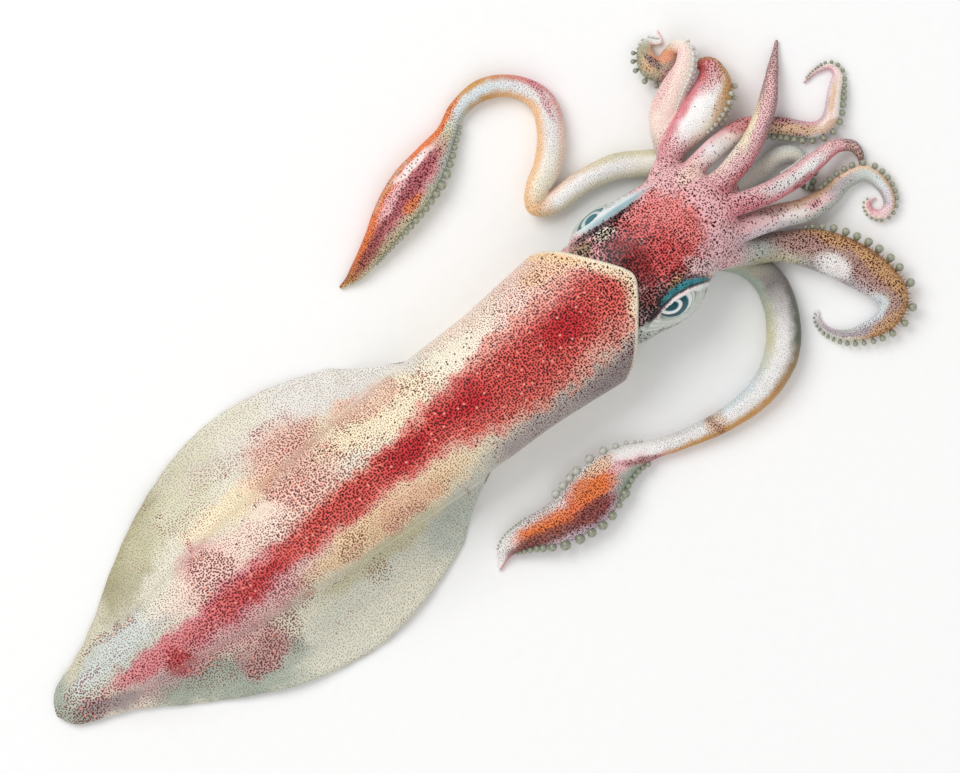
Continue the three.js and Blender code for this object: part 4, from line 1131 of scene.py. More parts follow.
# The head, in mm
head = {
    "start": 191.0,
    "end": 252.0,
    "rings": 60,  # of the rough head
    "roll": 14.0,  # degrees, the right eye up
    "eyeTilt": 31.0,
    "eyesAt": (216.0, 221.5),  # left, right
    "eyeRadius": 7.0,
    "eyeDepth": 3.7,
    "eyeSink": 1.6,
    "lidRadius": 9.6,
    "lidDepth": 3.2,
    "lidThickness": 0.6,  # of the skin over the eye
    "openings": {  # middle, half-length and half-height of the opening between the lids
        "left": (-0.8, -0.9, 5.9, 5.7),
        "right": (-0.8, -1.2, 6.5, 3.7),
    },
    "almond": (1.7, 1.85),  # the outline's powers
    "lidDrop": 1.9,  # how far the skin dives under the eye in the opening
    "lidRim": (0.4, 1.13, 0.09),  # its height in mm, where its crest lies and how wide it is
    "mouth": (250.0, 3.4, 15.0),
    "mouthRadius": 6.0,
    "rough": {"head": (48, 0.5), "funnel": (24, 1.0), "arm": (20, 0.8)},  # tubes' sides and least radius
    "ripple": (5.0, 0.16, 81),  # size, height and seed of the soft relief
    "wanderX": [(2.0, 8.0, 51, 3), (1.4, 2.4, 55, 2)],  # as the mantle's
    "wanderY": [(1.6, 8.0, 61, 3), (1.2, 2.4, 65, 2)],
    "mottle": (5.0, 71),
    "speckle": (2.0, 75, 2),
    "groundBreak": 0.3,
    "cellBreak": 0.45,
    "skin": {"gaps": (2.2, 0.17, 0.06, 0.0), "finePitch": 0.7, "inkPitch": 1.0},  # unlike the mantle's
    "voxel": 0.5,  # mm
    "frameStep": 0.4,  # mm between the limbs' frames
    "near": 4.0,  # mm round a limb within which its distance is measured
    "far": 60.0,  # mm, the distance given elsewhere
    "batch": 12000,  # points measured at once
    "fillet": 0.5,  # mm, width of the fillets round the eyes
    "web": 1.5,  # mm, the same between the arms' roots
    "crease": 0.22,  # mm, the same further out
    "webFrom": (229, 242),  # x between which the one width changes to the next
    "creaseFrom": (248, 263),
    "rows": [  # x, sideways middle, half-width, middle height, half-height
        (191, 1, 16.4, 16.5, 12.8), (200, 1.5, 17, 16.5, 13.2), (206, 0.8, 18.6, 16.5, 13.9),
        (212, 0.9, 19.6, 16.3, 14.5), (219, 0.6, 20.5, 16, 15), (227, 1, 19.8, 16, 15),
        (234, 2.6, 17.4, 16, 14.8), (242, 3.5, 16.6, 16, 14.4), (247, 3.4, 13.6, 16, 12.6),
        (250, 3.4, 10, 16, 9.6), (252, 3.4, 5, 16, 5),
    ],
    "ground": [  # colour, strength, middle x and y, reach along and across, turn
        ("coral", 0.75, 228, 4, 14.5, 13, 0), ("crimson", 0.45, 222, 4, 9, 10, 0),
        ("crimson", 0.4, 229, -3, 6, 5, 0), ("rose", 0.5, 213, 10, 5, 5, 0),
        ("darkCrimson", 0.75, 216.5, 4, 6.5, 9, 0), ("brownRose", 0.6, 212, -8, 6, 3, 0),
        ("darkCrimson", 0.5, 220, -8.5, 9, 3.2, 0), ("apricot", 0.85, 223.3, -9.0, 3, 1.2, 0),
        ("cream", 0.9, 215.5, 15, 4, 1.5, 0), ("olive", 0.7, 207, 14.5, 3, 3, 0),
        # the white lilac at x 232.5 before the right eye is a painted highlight
        ("whiteLilac", 0.4, 232.5, -10.5, 3.4, 6, 25), ("lilac", 0.25, 241, -10, 8, 6, 0),
        ("blush", 0.8, 249, 14, 6, 2.6, 0), ("seaGrey", 0.95, 224, -20.5, 18, 5.5, 0),
        ("seaGrey", 0.95, 210, -17.5, 9, 3.6, -12), ("seaGrey", 0.9, 219, 22.6, 16, 2.6, -3),
        ("shadow", 0.6, 209, -12, 5, 3, 0),
    ],
    "cells": [  # colour of the cells, how much more they cover and how many are dark, middle and reach
        ("maroon", 0.1, 0.3, 215, 3, 12, 13), ("ink", 0.12, 0.5, 210, 3, 8, 9),
        ("ink", 0.12, 0.5, 217, 14.5, 11, 2.6), ("ink", 0.1, 0.4, 219, -9, 11, 3.6),
        ("ink", 0.12, 0.6, 209, -12, 5, 5), ("darkCrimson", 0.08, 0.1, 231, 3, 13, 12),
    ],
    "funnelFlat": 0.72,
    "funnelStep": 1.0,  # mm between its frames
    "funnel": [(192, 1.5, 9.6, 14), (203, 1.5, 7.6, 14), (215, 1.5, 4.8, 10.8), (221, 1.5, 4, 9.2)],
}


def eyeSeat(hand):
    # middle of an eye and its own three directions: along the body, across the eye, and outwards
    x = head["eyesAt"][0 if hand > 0 else 1]
    middle, halfWidth, height, halfHeight = through(head["rows"], x)
    angle = math.radians(head["eyeTilt"] - head["roll"])
    if hand < 0:
        angle = math.pi - math.radians(head["eyeTilt"] + head["roll"])
    out = np.array([0, math.cos(angle), math.sin(angle)])
    place = np.array([x, middle, height]) + out * (np.array([0, halfWidth, halfHeight]) - head["eyeSink"])
    along = np.array([1.0, 0, 0])
    return {"place": place, "along": along, "across": np.cross(out, along) * -hand, "out": out}


eyeSeats = {"left": eyeSeat(1), "right": eyeSeat(-1)}


def seatPlace(points, seat):
    # a place in an eye's own directions
    away = points - seat["place"]
    return away @ seat["along"], away @ seat["across"], away @ seat["out"]


def lensField(points, seat, radius, depth):
    # distance to a flattened ball, negative inside, and the direction away from it
    u, v, w = seatPlace(points, seat)
    ratio = np.sqrt((u**2 + v**2) / radius**2 + w**2 / depth**2) + 1e-6
    away = np.sqrt(u**2 + v**2 + w**2)
    steep = (u[:, None] * seat["along"] + v[:, None] * seat["across"]) / radius**2
    steep = steep + w[:, None] * seat["out"] / depth**2
    return away * (1 - 1 / ratio), unit(steep)


def headField(points):
    # distance to the head, whose cross-sections are ellipses that change along X, closed by a round front
    x = np.clip(points[:, 0], head["start"], head["end"])
    rows = through(head["rows"], x)
    y = points[:, 1] - rows[:, 0]
    z = points[:, 2] - rows[:, 2]
    past = points[:, 0] - x
    a, b = rows[:, 1], rows[:, 3]
    ratio = np.sqrt((y / a) ** 2 + (z / b) ** 2 + (past / np.minimum(a, 5)) ** 2) + 1e-6
    away = np.sqrt(y**2 + z**2 + past**2)
    steep = np.stack([past / np.minimum(a, 5) ** 2, y / a**2, z / b**2], 1)
    return away * (1 - 1 / ratio), unit(steep)


def limbField(points, path):
    # distance to a limb: each place is measured in the frame of the path that comes closest, as
    # distance from the path x (1 - 1 / ratio), the ratio being that to the frame's ellipse
    field = np.full(len(points), head["far"])
    steep = np.tile([0.0, 0.0, 1.0], (len(points), 1))
    share = np.zeros(len(points))
    across = np.zeros(len(points))
    reach = path["a"].max() + head["near"]
    low = path["middle"].min(0) - reach
    high = path["middle"].max(0) + reach
    near = np.flatnonzero(np.all((points > low) & (points < high), axis=1))
    axes = [path[name] for name in ("ahead", "side", "up")]
    offsets = [np.sum(axis * path["middle"], axis=1) for axis in axes]
    a, b = path["a"], path["b"]
    last = len(a) - 1
    slopeA, slopeB = np.gradient(a, path["length"]), np.gradient(b, path["length"])
    for batch in np.array_split(near, max(len(near) // head["batch"], 1)):
        p = points[batch]
        t, s, h = (p @ axis.T - offset for axis, offset in zip(axes, offsets))
        ratio = np.sqrt((s / a) ** 2 + (h / b) ** 2 + (t / b) ** 2) + 1e-6
        best = np.argmin(np.sqrt(s**2 + h**2 + t**2) * (1 - 1 / ratio), axis=1)
        pick = (np.arange(len(p)), best)
        t, s, h = t[pick], s[pick], h[pick]
        beyond = np.where(best == 0, np.minimum(t, 0), 0) + np.where(best == last, np.maximum(t, 0), 0)
        within = np.clip(t - beyond, -1, 1)
        wide = np.maximum(a[best] + slopeA[best] * within, 0.2)
        tall = np.maximum(b[best] + slopeB[best] * within, 0.2)
        ratio = np.sqrt((s / wide) ** 2 + (h / tall) ** 2 + (beyond / tall) ** 2) + 1e-6
        field[batch] = np.sqrt(s**2 + h**2 + beyond**2) * (1 - 1 / ratio)
        gradient = (s / wide**2)[:, None] * axes[1][best] + (h / tall**2)[:, None] * axes[2][best]
        gradient += (beyond / tall**2)[:, None] * axes[0][best]
        steep[batch] = unit(gradient)
        share[batch] = np.interp(path["length"][best] + within, path["length"], path["share"])
        across[batch] = s / wide
    return field, steep, share, across


def blended(fields, steeps, width):
    # the smooth least of several distances: -width ln(sum of e^(-distance / width)), its gradient and weights
    least = fields.min(0)
    power = np.exp(-(fields - least) / width)
    total = power.sum(0)
    weights = power / total
    return least - width * np.log(total), np.einsum("kn,knj->nj", weights, steeps), weights


def settle(points, measure, rounds=6, longest=0.8, least=0.3):
    # moves points onto the surface where the measure is 0, by Newton's steps along its gradient
    for _ in range(rounds):
        field, gradient, _ = measure(points)
        size = np.maximum(np.sum(gradient**2, axis=1), least)
        move = np.clip(-field / size, -longest, longest)[:, None] * gradient
        points = points + move
    return points


def tube(path, sides, least):
    # a closed tube round a path, no thinner than a least radius, with a point at both ends
    cosine, sine = circle(sides)
    a = np.maximum(path["a"], least)[:, None, None]
    b = np.maximum(path["b"], least)[:, None, None]
    rings = path["middle"][:, None] + path["side"][:, None] * a * cosine + path["up"][:, None] * b * sine
    tips = path["middle"][[0, -1]] + path["ahead"][[0, -1]] * np.array([[-least], [least]])
    return capped(rings, *tips)


def ball(seat, radius, depth, rings=24, sides=48):
    # a flattened ball, with a ring of points at each step from pole to pole
    polar = np.linspace(0, np.pi, rings + 2)[1:-1, None, None]
    cosine, sine = circle(sides)
    level = np.sin(polar) * (cosine * seat["along"] + sine * seat["across"]) * radius
    poles = seat["place"] + np.array([[depth], [-depth]]) * seat["out"]
    return capped(seat["place"] + level + np.cos(polar) * seat["out"] * depth, *poles)


def headTube():
    # the head's own cross-sections as one closed tube
    x = np.linspace(head["start"], head["end"], head["rings"])
    rows = through(head["rows"], x)
    axis = lambda vector: np.tile(np.array(vector, float), (len(x), 1))
    middle = np.stack([x, rows[:, 0], rows[:, 2]], 1)
    path = {"middle": middle, "ahead": axis((1, 0, 0)), "side": axis((0, 1, 0)), "up": axis((0, 0, 1))}
    path["a"] = rows[:, 1]
    path["b"] = rows[:, 3]
    return tube(path, *head["rough"]["head"])


def remeshed(name, shells, voxel):
    # several closed shells as one even skin of small quads: their union rebuilt in voxels
    starts = np.cumsum([0] + [len(points) for points, _, _ in shells])
    points, quads, triangles = zip(*[(p, q + s, t + s) for (p, q, t), s in zip(shells, starts)])
    rough = makePiece(name, *(np.concatenate(part) for part in (points, quads, triangles)))
    voxels = rough.modifiers.new("voxels", "REMESH")
    voxels.mode = "VOXEL"
    voxels.voxel_size = voxel / 1000
    made = rough.evaluated_get(bpy.context.evaluated_depsgraph_get()).to_mesh()
    places = np.empty(len(made.vertices) * 3, np.float32)
    made.vertices.foreach_get("co", places)
    corners = np.empty(len(made.loops), np.int32)
    made.loops.foreach_get("vertex_index", corners)
    bpy.data.objects.remove(rough)
    return places.reshape(-1, 3).astype(float) * 1000 - tailPoint, corners.reshape(-1, 4)


def limbPaint(paint, share, across):
    # colours from the limb's rows: along it by straight lines between rows, and across it from the left
    # edge's colour over the middle's to the right edge's
    at = [row[0] for row in paint]
    along = lambda values: np.stack([np.interp(share, at, column) for column in np.array(values).T], -1)
    left, middle, right = (along([named(row[1].split()[k]) for row in paint]) for k in range(3))
    toLeft, toRight = (smoothStep(0.15, 0.85, hand * across)[:, None] for hand in (1, -1))
    tone = middle + (left - middle) * toLeft + (right - middle) * toRight
    return tone, *along([row[2:] for row in paint]).T


paths = {name: evenFrames(limb["stations"], head["frameStep"]) for name, limb in limbs.items()}
armNames = [name for name in limbs if "Tentacle" not in name]
funnelPath = evenFrames(head["funnel"], head["funnelStep"])
funnelPath["b"] = funnelPath["a"] * head["funnelFlat"]


def eyeBulges():
    # the flattened balls of flesh round the eyes: each one's seat, radius and depth
    cover = head["lidThickness"]
    sizes = ((head["lidRadius"], head["lidDepth"]), (head["eyeRadius"] + cover, head["eyeDepth"] + cover))
    return [(seat, *size) for size in sizes for seat in eyeSeats.values()]


def headMeasure(points):
    # the head's flesh: the smooth union of head, mouth, funnel, lids and arms, with wide webs at the arms'
    # roots and tight creases further out
    mouth = {**eyeSeats["left"], "place": np.array(head["mouth"])}
    pairs = [headField(points), lensField(points, mouth, head["mouthRadius"], head["mouthRadius"])]
    pairs.append(limbField(points, funnelPath)[:2])
    pairs += [lensField(points, *bulge) for bulge in eyeBulges()]
    arms = [limbField(points, paths[name]) for name in armNames]
    fields, steeps = (np.stack(part) for part in zip(*pairs, *(arm[:2] for arm in arms)))
    width = lerp(head["fillet"], head["web"], smoothStep(*head["webFrom"], points[:, 0]))
    beyond = points[:, 0] + 0.35 * np.abs(points[:, 1] - 4)
    width = lerp(width, head["crease"], smoothStep(*head["creaseFrom"], beyond))
    field, gradient, weights = blended(fields, steeps, width)
    shares, sides = (np.array([arm[k] for arm in arms]) for k in (2, 3))
    return field, gradient, (weights, shares, sides)


def headSurface():
    # the remeshed union, moved onto the exact flesh
    rough = head["rough"]
    shells = [headTube(), tube(funnelPath, *rough["funnel"]), *(ball(*bulge) for bulge in eyeBulges())]
    shells += [tube(paths[name], *rough["arm"]) for name in armNames]
    points, quads = remeshed("headRough", shells, head["voxel"])
    points = settle(points, headMeasure)
    _, gradient, blend = headMeasure(points)
    return points, quads, unit(gradient), blend


def lidShape(points, name):
    # how far a place lies from the middle of the opening between the lids: 1 on its almond outline
    u, v, w = seatPlace(points, eyeSeats[name])
    middleU, middleV, halfLength, halfHeight = head["openings"][name]
    u = u - middleU
    v = v - middleV
    blunt, root = head["almond"]
    almond = (np.abs(u / halfLength) ** blunt + np.abs(v / halfHeight) ** 2) ** (1 / root)
    return np.where(w > 0, almond, 9.0), u, v


def openLids(points):
    # pushes the skin inside each opening down under the eye, and raises a round rim along its outline
    height, crest, width = head["lidRim"]
    for name, seat in eyeSeats.items():
        almond, _, v = lidShape(points, name)
        drop = head["lidDrop"] * smoothStep(1.07, 0.93, almond)
        rim = height * np.exp(-(((almond - crest) / width) ** 2)) * smoothStep(-3, 1, v)
        points = points + seat["out"] * (rim - drop)[:, None]
    return points


def headPaint(points, blend):
    # the head's own colours by place, from the tables above, mixed with each arm's by how much of the flesh
    # there is the arm's
    weights, shares, sides = blend
    x, y, z = points.T
    level = np.stack([x, y, z * 0.6], -1)
    px = wandered(level, x, head["wanderX"])
    py = wandered(level, y, head["wanderY"])
    mottle = clouds(level, *head["mottle"])
    speckle = clouds(level, *head["speckle"])
    ground = named("pink")
    fleck = named("darkCrimson")
    spots = 0.34 + 0.04 * mottle
    dark = 0.22 + 0.12 * smoothStep(236, 224, px)
    for colour, strength, *spot in head["ground"]:
        cover = broken(patch(px, py, spot, 0.4), head["groundBreak"] * speckle, 0.1)
        ground = over(ground, colour, strength * cover)
    for colour, more, darker, *spot in head["cells"]:
        cover = broken(patch(px, py, spot, 0.6), head["cellBreak"] * speckle, 0.2)
        fleck = over(fleck, colour, 0.9 * cover)
        spots = spots + more * cover
        dark = dark + darker * cover
    below = smoothStep(18, 12, z) * (x < 252)
    ground = layered(ground, ("seaGrey", 0.9 * below), ("cream", smoothStep(202, 197, x)))
    fleck = over(fleck, "greyMauve", 0.9 * below) * skin["fleckShade"]
    spots = np.clip(skin["cellShare"] * spots, 0.1, 0.37) * lerp(1, 0.6, below)
    dark = dark * lerp(1, 0.15, below) * smoothStep(197, 202, x) * (1 + 0.3 * mottle)
    ofArms = weights[len(weights) - len(armNames) :]
    ofHead = weights[: len(weights) - len(armNames)].sum(0)
    beyondRoot = smoothStep(0.0, 0.13, shares + 0.02 * mottle)
    own = ofHead + (ofArms * (1 - beyondRoot)).sum(0)
    flesh = {"tone": ground * own[:, None], "fleck": fleck * own[:, None]}
    flesh.update({"spots": spots * own, "dark": dark * own, "spread": np.stack([x, y, z * 0], -1)})
    flesh["flat"] = smoothStep(0.8, 0.97, ofHead) * smoothStep(20, 25, z)
    for k, name in enumerate(armNames):
        addLimb(flesh, points, name, ofArms[k] * beyondRoot[k], shares[k], sides[k])
        main = ofArms[k] > 0.5
        flesh["spread"][main] = limbSpread(paths[name], shares[k], sides[k])[main] + (0, 60 * (k + 1), 0)
        flesh["flat"][main] = smoothStep(0.8, 0.97, ofArms[k][main])
    return paintLids(points, flesh)


flecks = {
    "shade": (0.2, 0.08, 0.08),  # the limbs' fine cells as shares of their ground
    "sparseFade": 0.5,  # how far they fade to the ground where they are sparse
    "pale": 0.05,  # where a limb gives none of its own
    "cells": 0.86,
    "along": [(0.012, 3.0, 141, 2)],  # here and below, how far, size, seed and layers
    "across": [(0.22, 2.2, 145, 2)],
    "wanderX": [(0.9, 3.4, 151, 3)],
    "wanderY": [(0.9, 3.4, 155, 3)],
    "uneven": [(0.12, 4.0, 149, 2)],
}


def addLimb(flesh, points, name, weight, share, across):
    # adds a limb's colours, times its weight at each point, with ragged borders between them: the ground is
    # paled and the fine cells are darkened
    limb = limbs[name]
    raggedShare = wandered(points, share, flecks["along"])
    raggedAcross = wandered(points, across, flecks["across"])
    tone, spots, dark = limbPaint(limb["paint"], raggedShare, raggedAcross)
    px = wandered(points, points[:, 0], flecks["wanderX"])
    py = wandered(points, points[:, 1], flecks["wanderY"])
    for colour, strength, *spot, more, darker in limb.get("patches", []):
        cover = patch(px, py, spot, 0.4)
        tone = over(tone, colour, strength * cover)
        spots = spots + more * cover
        dark = dark + darker * cover
    tone = lerp(tone, 1.0, limb.get("pale", flecks["pale"]))
    spots = spots * limb.get("cells", flecks["cells"]) * wandered(points, 1, flecks["uneven"])
    sparse = flecks["sparseFade"] * smoothStep(0.30, 0.20, spots)[:, None]
    flesh["tone"] += tone * weight[:, None]
    flesh["spots"] += np.clip(spots, 0.06, 0.36) * weight
    flesh["dark"] += dark * weight
    flesh["fleck"] += tone * lerp(flecks["shade"], 1.0, sparse) * weight[:, None]


def limbSpread(path, share, across):
    # places on a limb's skin: along it, and round it as arcsin of the way across times its half-width
    along, halfWidth = (np.interp(share, path["share"], path[key]) for key in ("length", "a"))
    around = np.arcsin(np.clip(across, -1, 1)) * halfWidth
    return np.stack([along, around, np.zeros_like(along)], -1)


def paintLids(points, flesh):
    # the skin round each eye: left, a blue-white crest over the eye, partly the lid's pale edge and partly a
    # painted highlight; right, a teal band over it with a dark edge; grey-white folds below both
    x, y, z = points.T
    for name in eyeSeats:
        almond, u, v = lidShape(points, name)
        upper = smoothStep(-0.5, 1.2, v - 0.2 * np.maximum(u - 2, 0))
        clear = smoothStep(2.5, 1.7, almond) * (1 - upper)
        marks = [("seaGrey", clear), ("white", 0.6 * clear * (0.5 + 0.5 * np.cos(almond * 20)))]
        if name == "right":
            arc = y + 12.4 + 0.021 * (x - 221) ** 2
            ragged = 0.8 * clouds(points, 1.5, 181, 2)
            high = 2.3 * np.sqrt(np.clip(1 - ((x - 224.0) / 9.0) ** 2, 0, 1))
            top = smoothStep(16, 18, z)
            band = smoothStep(0.3, -0.1, arc + ragged - high) * smoothStep(0.1, 0.5, arc) * top
            around = smoothStep(0.9, 0.2, arc + ragged - high - 0.8) * smoothStep(-0.2, 0.2, arc) * top
            around = around * smoothStep(208, 213, x)
            left = smoothStep(221, 214, x + 3 * ragged)
            lid = smoothStep(-2.2, -1.7, arc) * smoothStep(-0.1, -0.5, arc) * smoothStep(212, 215, x) * top
            line = smoothStep(0.5, 0.3, np.abs(arc)) * smoothStep(211, 214, x) * smoothStep(233, 231, x) * top
            marks += [
                ("ink", 0.7 * around),
                ("lidTeal", band),
                ("deepTeal", 0.5 * band * smoothStep(-0.2, 0.3, ragged)),
                ("ink", 0.8 * left * np.maximum(band, around)),
                ("white", 0.8 * lid),
                ("deepTeal", 0.5 * line),
                ("ink", 0.75 * line),
            ]
            cellMarks = [("ink", around), ("deepTeal", band * (1 - left))]
            clear = np.maximum(clear, np.maximum(0.5 * band, np.maximum(lid, line)))
        else:
            top = smoothStep(14, 18, z)
            # the blue-white crest and the white streak along its top are partly the lid's pale edge, partly
            # painted highlight
            crest = patch(x, y, (221, 19.3, 12.5, 1.4, -4), 0.4) * top
            beneath = patch(x, y + 0.6 * clouds(points, 1.3, 183, 2), (218, 17.5, 12, 1.2, -3), 0.25)
            beneath = beneath * (1 - crest) * top
            marks += [
                ("ink", 0.8 * beneath),
                ("blueWhite", crest),
                ("lidTeal", 0.3 * crest * smoothStep(19.4, 18.2, y)),
                ("white", 0.6 * patch(x, y, (216, 19.9, 7, 0.8, -2), 0.5)),
                ("lidTeal", 0.5 * patch(x, y, (222, 18.6, 11, 0.8, -4), 0.5)),
            ]
            cellMarks = [("ink", beneath)]
            flesh["dark"] = flesh["dark"] + 0.5 * beneath
            clear = np.maximum(clear, crest)
        flesh["tone"] = layered(flesh["tone"], *marks)
        flesh["fleck"] = layered(flesh["fleck"], *cellMarks)
        flesh["spots"] = flesh["spots"] * lerp(1, 0.2, clear)
        flesh["dark"] = flesh["dark"] * (1 - clear)
    return flesh


def ripple(points, normals, size, height, seed):
    # soft relief along the normals
    return points + normals * (height * clouds(points, size, seed, 2))[:, None]


def skinPiece(name, points, quads, looks, slot, nodeName):
    # a remeshed skin as a piece, kept above the table
    points[:, 2] = np.maximum(points[:, 2], tableGap)
    quads, _ = outward(points, quads, noTriangles)
    dress(makePiece(name, points, quads, looks=looks), fleshLook, slot, nodeName)
    print(name, "made:", len(quads) * 2, "triangles")


fleshLook = skinMaterial("fleshSkin", {**skin, **head["skin"]})
headPoints, headQuads, headNormals, headBlend = headSurface()
headLooks = headPaint(headPoints, headBlend)
headPoints = openLids(ripple(headPoints, headNormals, *head["ripple"]))
skinPiece("headSkin", headPoints, headQuads, headLooks, "head_skin", "head_with_arms")


# The tentacles' own skins
club = {
    "voxel": 0.36,  # mm
    "rough": (24, 0.7),  # the rough tube's sides and least radius
    "ripple": (4.0, 0.14),  # size and height of the soft relief
}


def makeTentacle(name, limbName, nodeName, seed):
    # a tentacle as its own skin, remeshed and settled in the same way
    path = paths[limbName]
    points, quads = remeshed(name + "Rough", [tube(path, *club["rough"])], club["voxel"])

    def measure(places):
        field, steep, share, across = limbField(places, path)
        return field, steep, (share, across)

    points = settle(points, measure)
    _, normals, (share, across) = measure(points)
    flesh = {"tone": np.zeros((len(points), 3)), "fleck": np.zeros((len(points), 3))}
    flesh.update({title: np.zeros(len(points)) for title in ("spots", "dark")})
    addLimb(flesh, points, limbName, np.ones(len(points)), share, across)
    flesh["spread"] = limbSpread(path, share, across)
    flesh["flat"] = np.ones(len(points))
    points = ripple(points, unit(normals), *club["ripple"], seed)
    skinPiece(name, points, quads, flesh, "tentacle_skin", nodeName)


makeTentacle("tentacleLeftSkin", "leftTentacle", "tentacle_left", 91)
makeTentacle("tentacleRightSkin", "rightTentacle", "tentacle_right", 95)


# The suckers
cups = {
    "row": {  # what a row of suckers has where its limb gives nothing else
        "pitch": 2.1,  # radii between two suckers
        "lift": 15.0,  # degrees they turn up from level
        "stalk": 0.8,  # radii they stand off the limb's edge
        "light": 0.42,  # share of the light colour: partly the cups' own paleness, partly painted light; rows lying under other limbs get little of it, as painted shade
        "long": 1.0,
    },
    "profile": [  # distance from the axis and along it, in radii, and the share of the light colour, a painted light and shade: darkest down the stalk and on the cup's sides, lightest on its lip
        (0.34, -2.5, 0.25), (0.30, -1.25, 0.15), (0.72, -0.72, 0.3), (1.0, 0.1, 0.6), (0.70, 0.76, 1.0),
        (0.44, 0.72, 0.9), (0.30, 0.42, 0.2),
    ],
    "poles": (-2.2, 0.3),  # radii along the axis
    "steps": 601,  # places along the limb from which the suckers' are taken
    "seat": (0.93, 0.9),  # where they stand, as shares of the limb's half-width and half-height
    "poleLights": (0.2, 0.5),
    "sides": 8,
    "cloudNoise": (900.0, 3.0),
    "cloudLight": (0.75, 1.2),
    "bump": 0.00008,  # m
    "finish": {
        "Roughness": 0.32,
        "Coat Weight": 0.4,
        "Coat Roughness": 0.12,
        "Subsurface Weight": 0.1,
        "Subsurface Radius": (1.0, 0.8, 0.6),
        "Subsurface Scale": 0.0008,
    },
}


def cupRow(stations, hand, start, end, sizes, own=None):
    # places, directions, radii, lengths and lightness of one row: each sucker lies a multiple of its radius
    # past the last, and the radius changes by straight lines between the shares in sizes
    choice = {**cups["row"], **(own or {})}
    shares = np.linspace(start, end, cups["steps"])
    path = frames(stations, shares)
    radii = np.interp(shares, *np.array(sizes).T)
    rise = math.radians(choice["lift"])
    step = np.concatenate([[0], np.linalg.norm(np.diff(path["middle"], axis=0), axis=1)])
    count = np.cumsum(step / (radii * choice["pitch"]))
    firsts = np.searchsorted(count, np.arange(int(count[-1]) + 1) + 1e-9)
    firsts = firsts[firsts < len(shares)]
    f = {key: value[firsts] for key, value in path.items()}
    radii = radii[firsts]
    out = f["side"] * hand * math.cos(rise)
    out = unit(out + f["up"] * np.sign(f["up"][:, 2:]) * math.sin(rise))
    wide, high = cups["seat"]
    place = f["middle"] + f["side"] * (hand * wide * math.cos(rise) * f["a"])[:, None]
    place[:, 2] += math.sin(rise) * f["b"] * high
    place = place + out * (radii * choice["stalk"])[:, None]
    place[:, 2] = np.maximum(place[:, 2], radii * 1.05)
    return place, out, radii, *(np.full(len(radii), choice[key]) for key in ("long", "light"))


def makeCopies(name, rings, feet, tips, tone, slot, nodeName):
    # one piece of many alike closed shapes, from each one's rows of points, foot and tip
    count, levels, sides = rings.shape[:3]
    points = np.concatenate([rings.reshape(count, levels * sides, 3), feet[:, None], tips[:, None]], 1)
    _, quads, ends = capped(rings[0], feet[0], tips[0])
    starts = (np.arange(count) * points.shape[1])[:, None, None]
    quads, ends = (quads + starts).reshape(-1, 4), (ends + starts).reshape(-1, 3)
    piece = makePiece(name, points.reshape(-1, 3), quads, ends, {"tone": tone.reshape(-1, 3)})
    dress(piece, cupLook, slot, nodeName)
    print(name, "made:", count, "copies")


def makeCups(name, limbNames, slot, nodeName):
    # one piece for all suckers of some limbs: the cup's profile turned about each one's own direction,
    # coloured between pearl shade and a light colour as painted light and shade
    rows = []
    for limb in limbNames:
        rows += [cupRow(limbs[limb]["stations"], *row) for row in limbs[limb].get("cups", [])]
    place, out, radii, longer, lightness = (np.concatenate(part) for part in zip(*rows))
    radii = (radii * (1 + 0.1 * grain(place * 7.1, 1.0, 131)))[:, None]
    wide, along, lights = np.array(cups["profile"]).T
    cosine, sine = circle(cups["sides"])
    first = unit(np.cross(out, (0.02, 0.01, 1.0)))
    around = first[:, None] * cosine + np.cross(out, first)[:, None] * sine
    stretched = out * longer[:, None]
    rings = wide[:, None, None] * around[:, None] + along[:, None, None] * stretched[:, None, None]
    rings = place[:, None, None] + radii[..., None, None] * rings
    feet, tips = (place + radii * stretched * far for far in cups["poles"])
    shade = np.concatenate([np.repeat(lights, cups["sides"]), cups["poleLights"]])
    shade = np.clip(shade * (0.55 + 0.75 * lightness[:, None]), 0, 1)[..., None]
    light = lerp(named("pearl"), named("white"), np.clip(lightness * 1.6 - 0.7, 0, 1)[:, None])[:, None]
    makeCopies(name, rings, feet, tips, lerp(named("pearlShade"), light, shade), slot, nodeName)


fringes = {
    "sides": 5,
    "steps": 401,
    # piece, limb, hand, shares it runs between, step, length and base radius in mm, and two colours
    "rows": [
        ("armFringe", "fringedArm", 1, (0.27, 0.66), 0.75, 2.3, 0.34, ("darkRust", "ochre")),
        ("clubFringe", "leftTentacle", -1, (0.75, 0.86), 0.5, 1.7, 0.36, ("blueWhite", "ochre")),
    ],
}


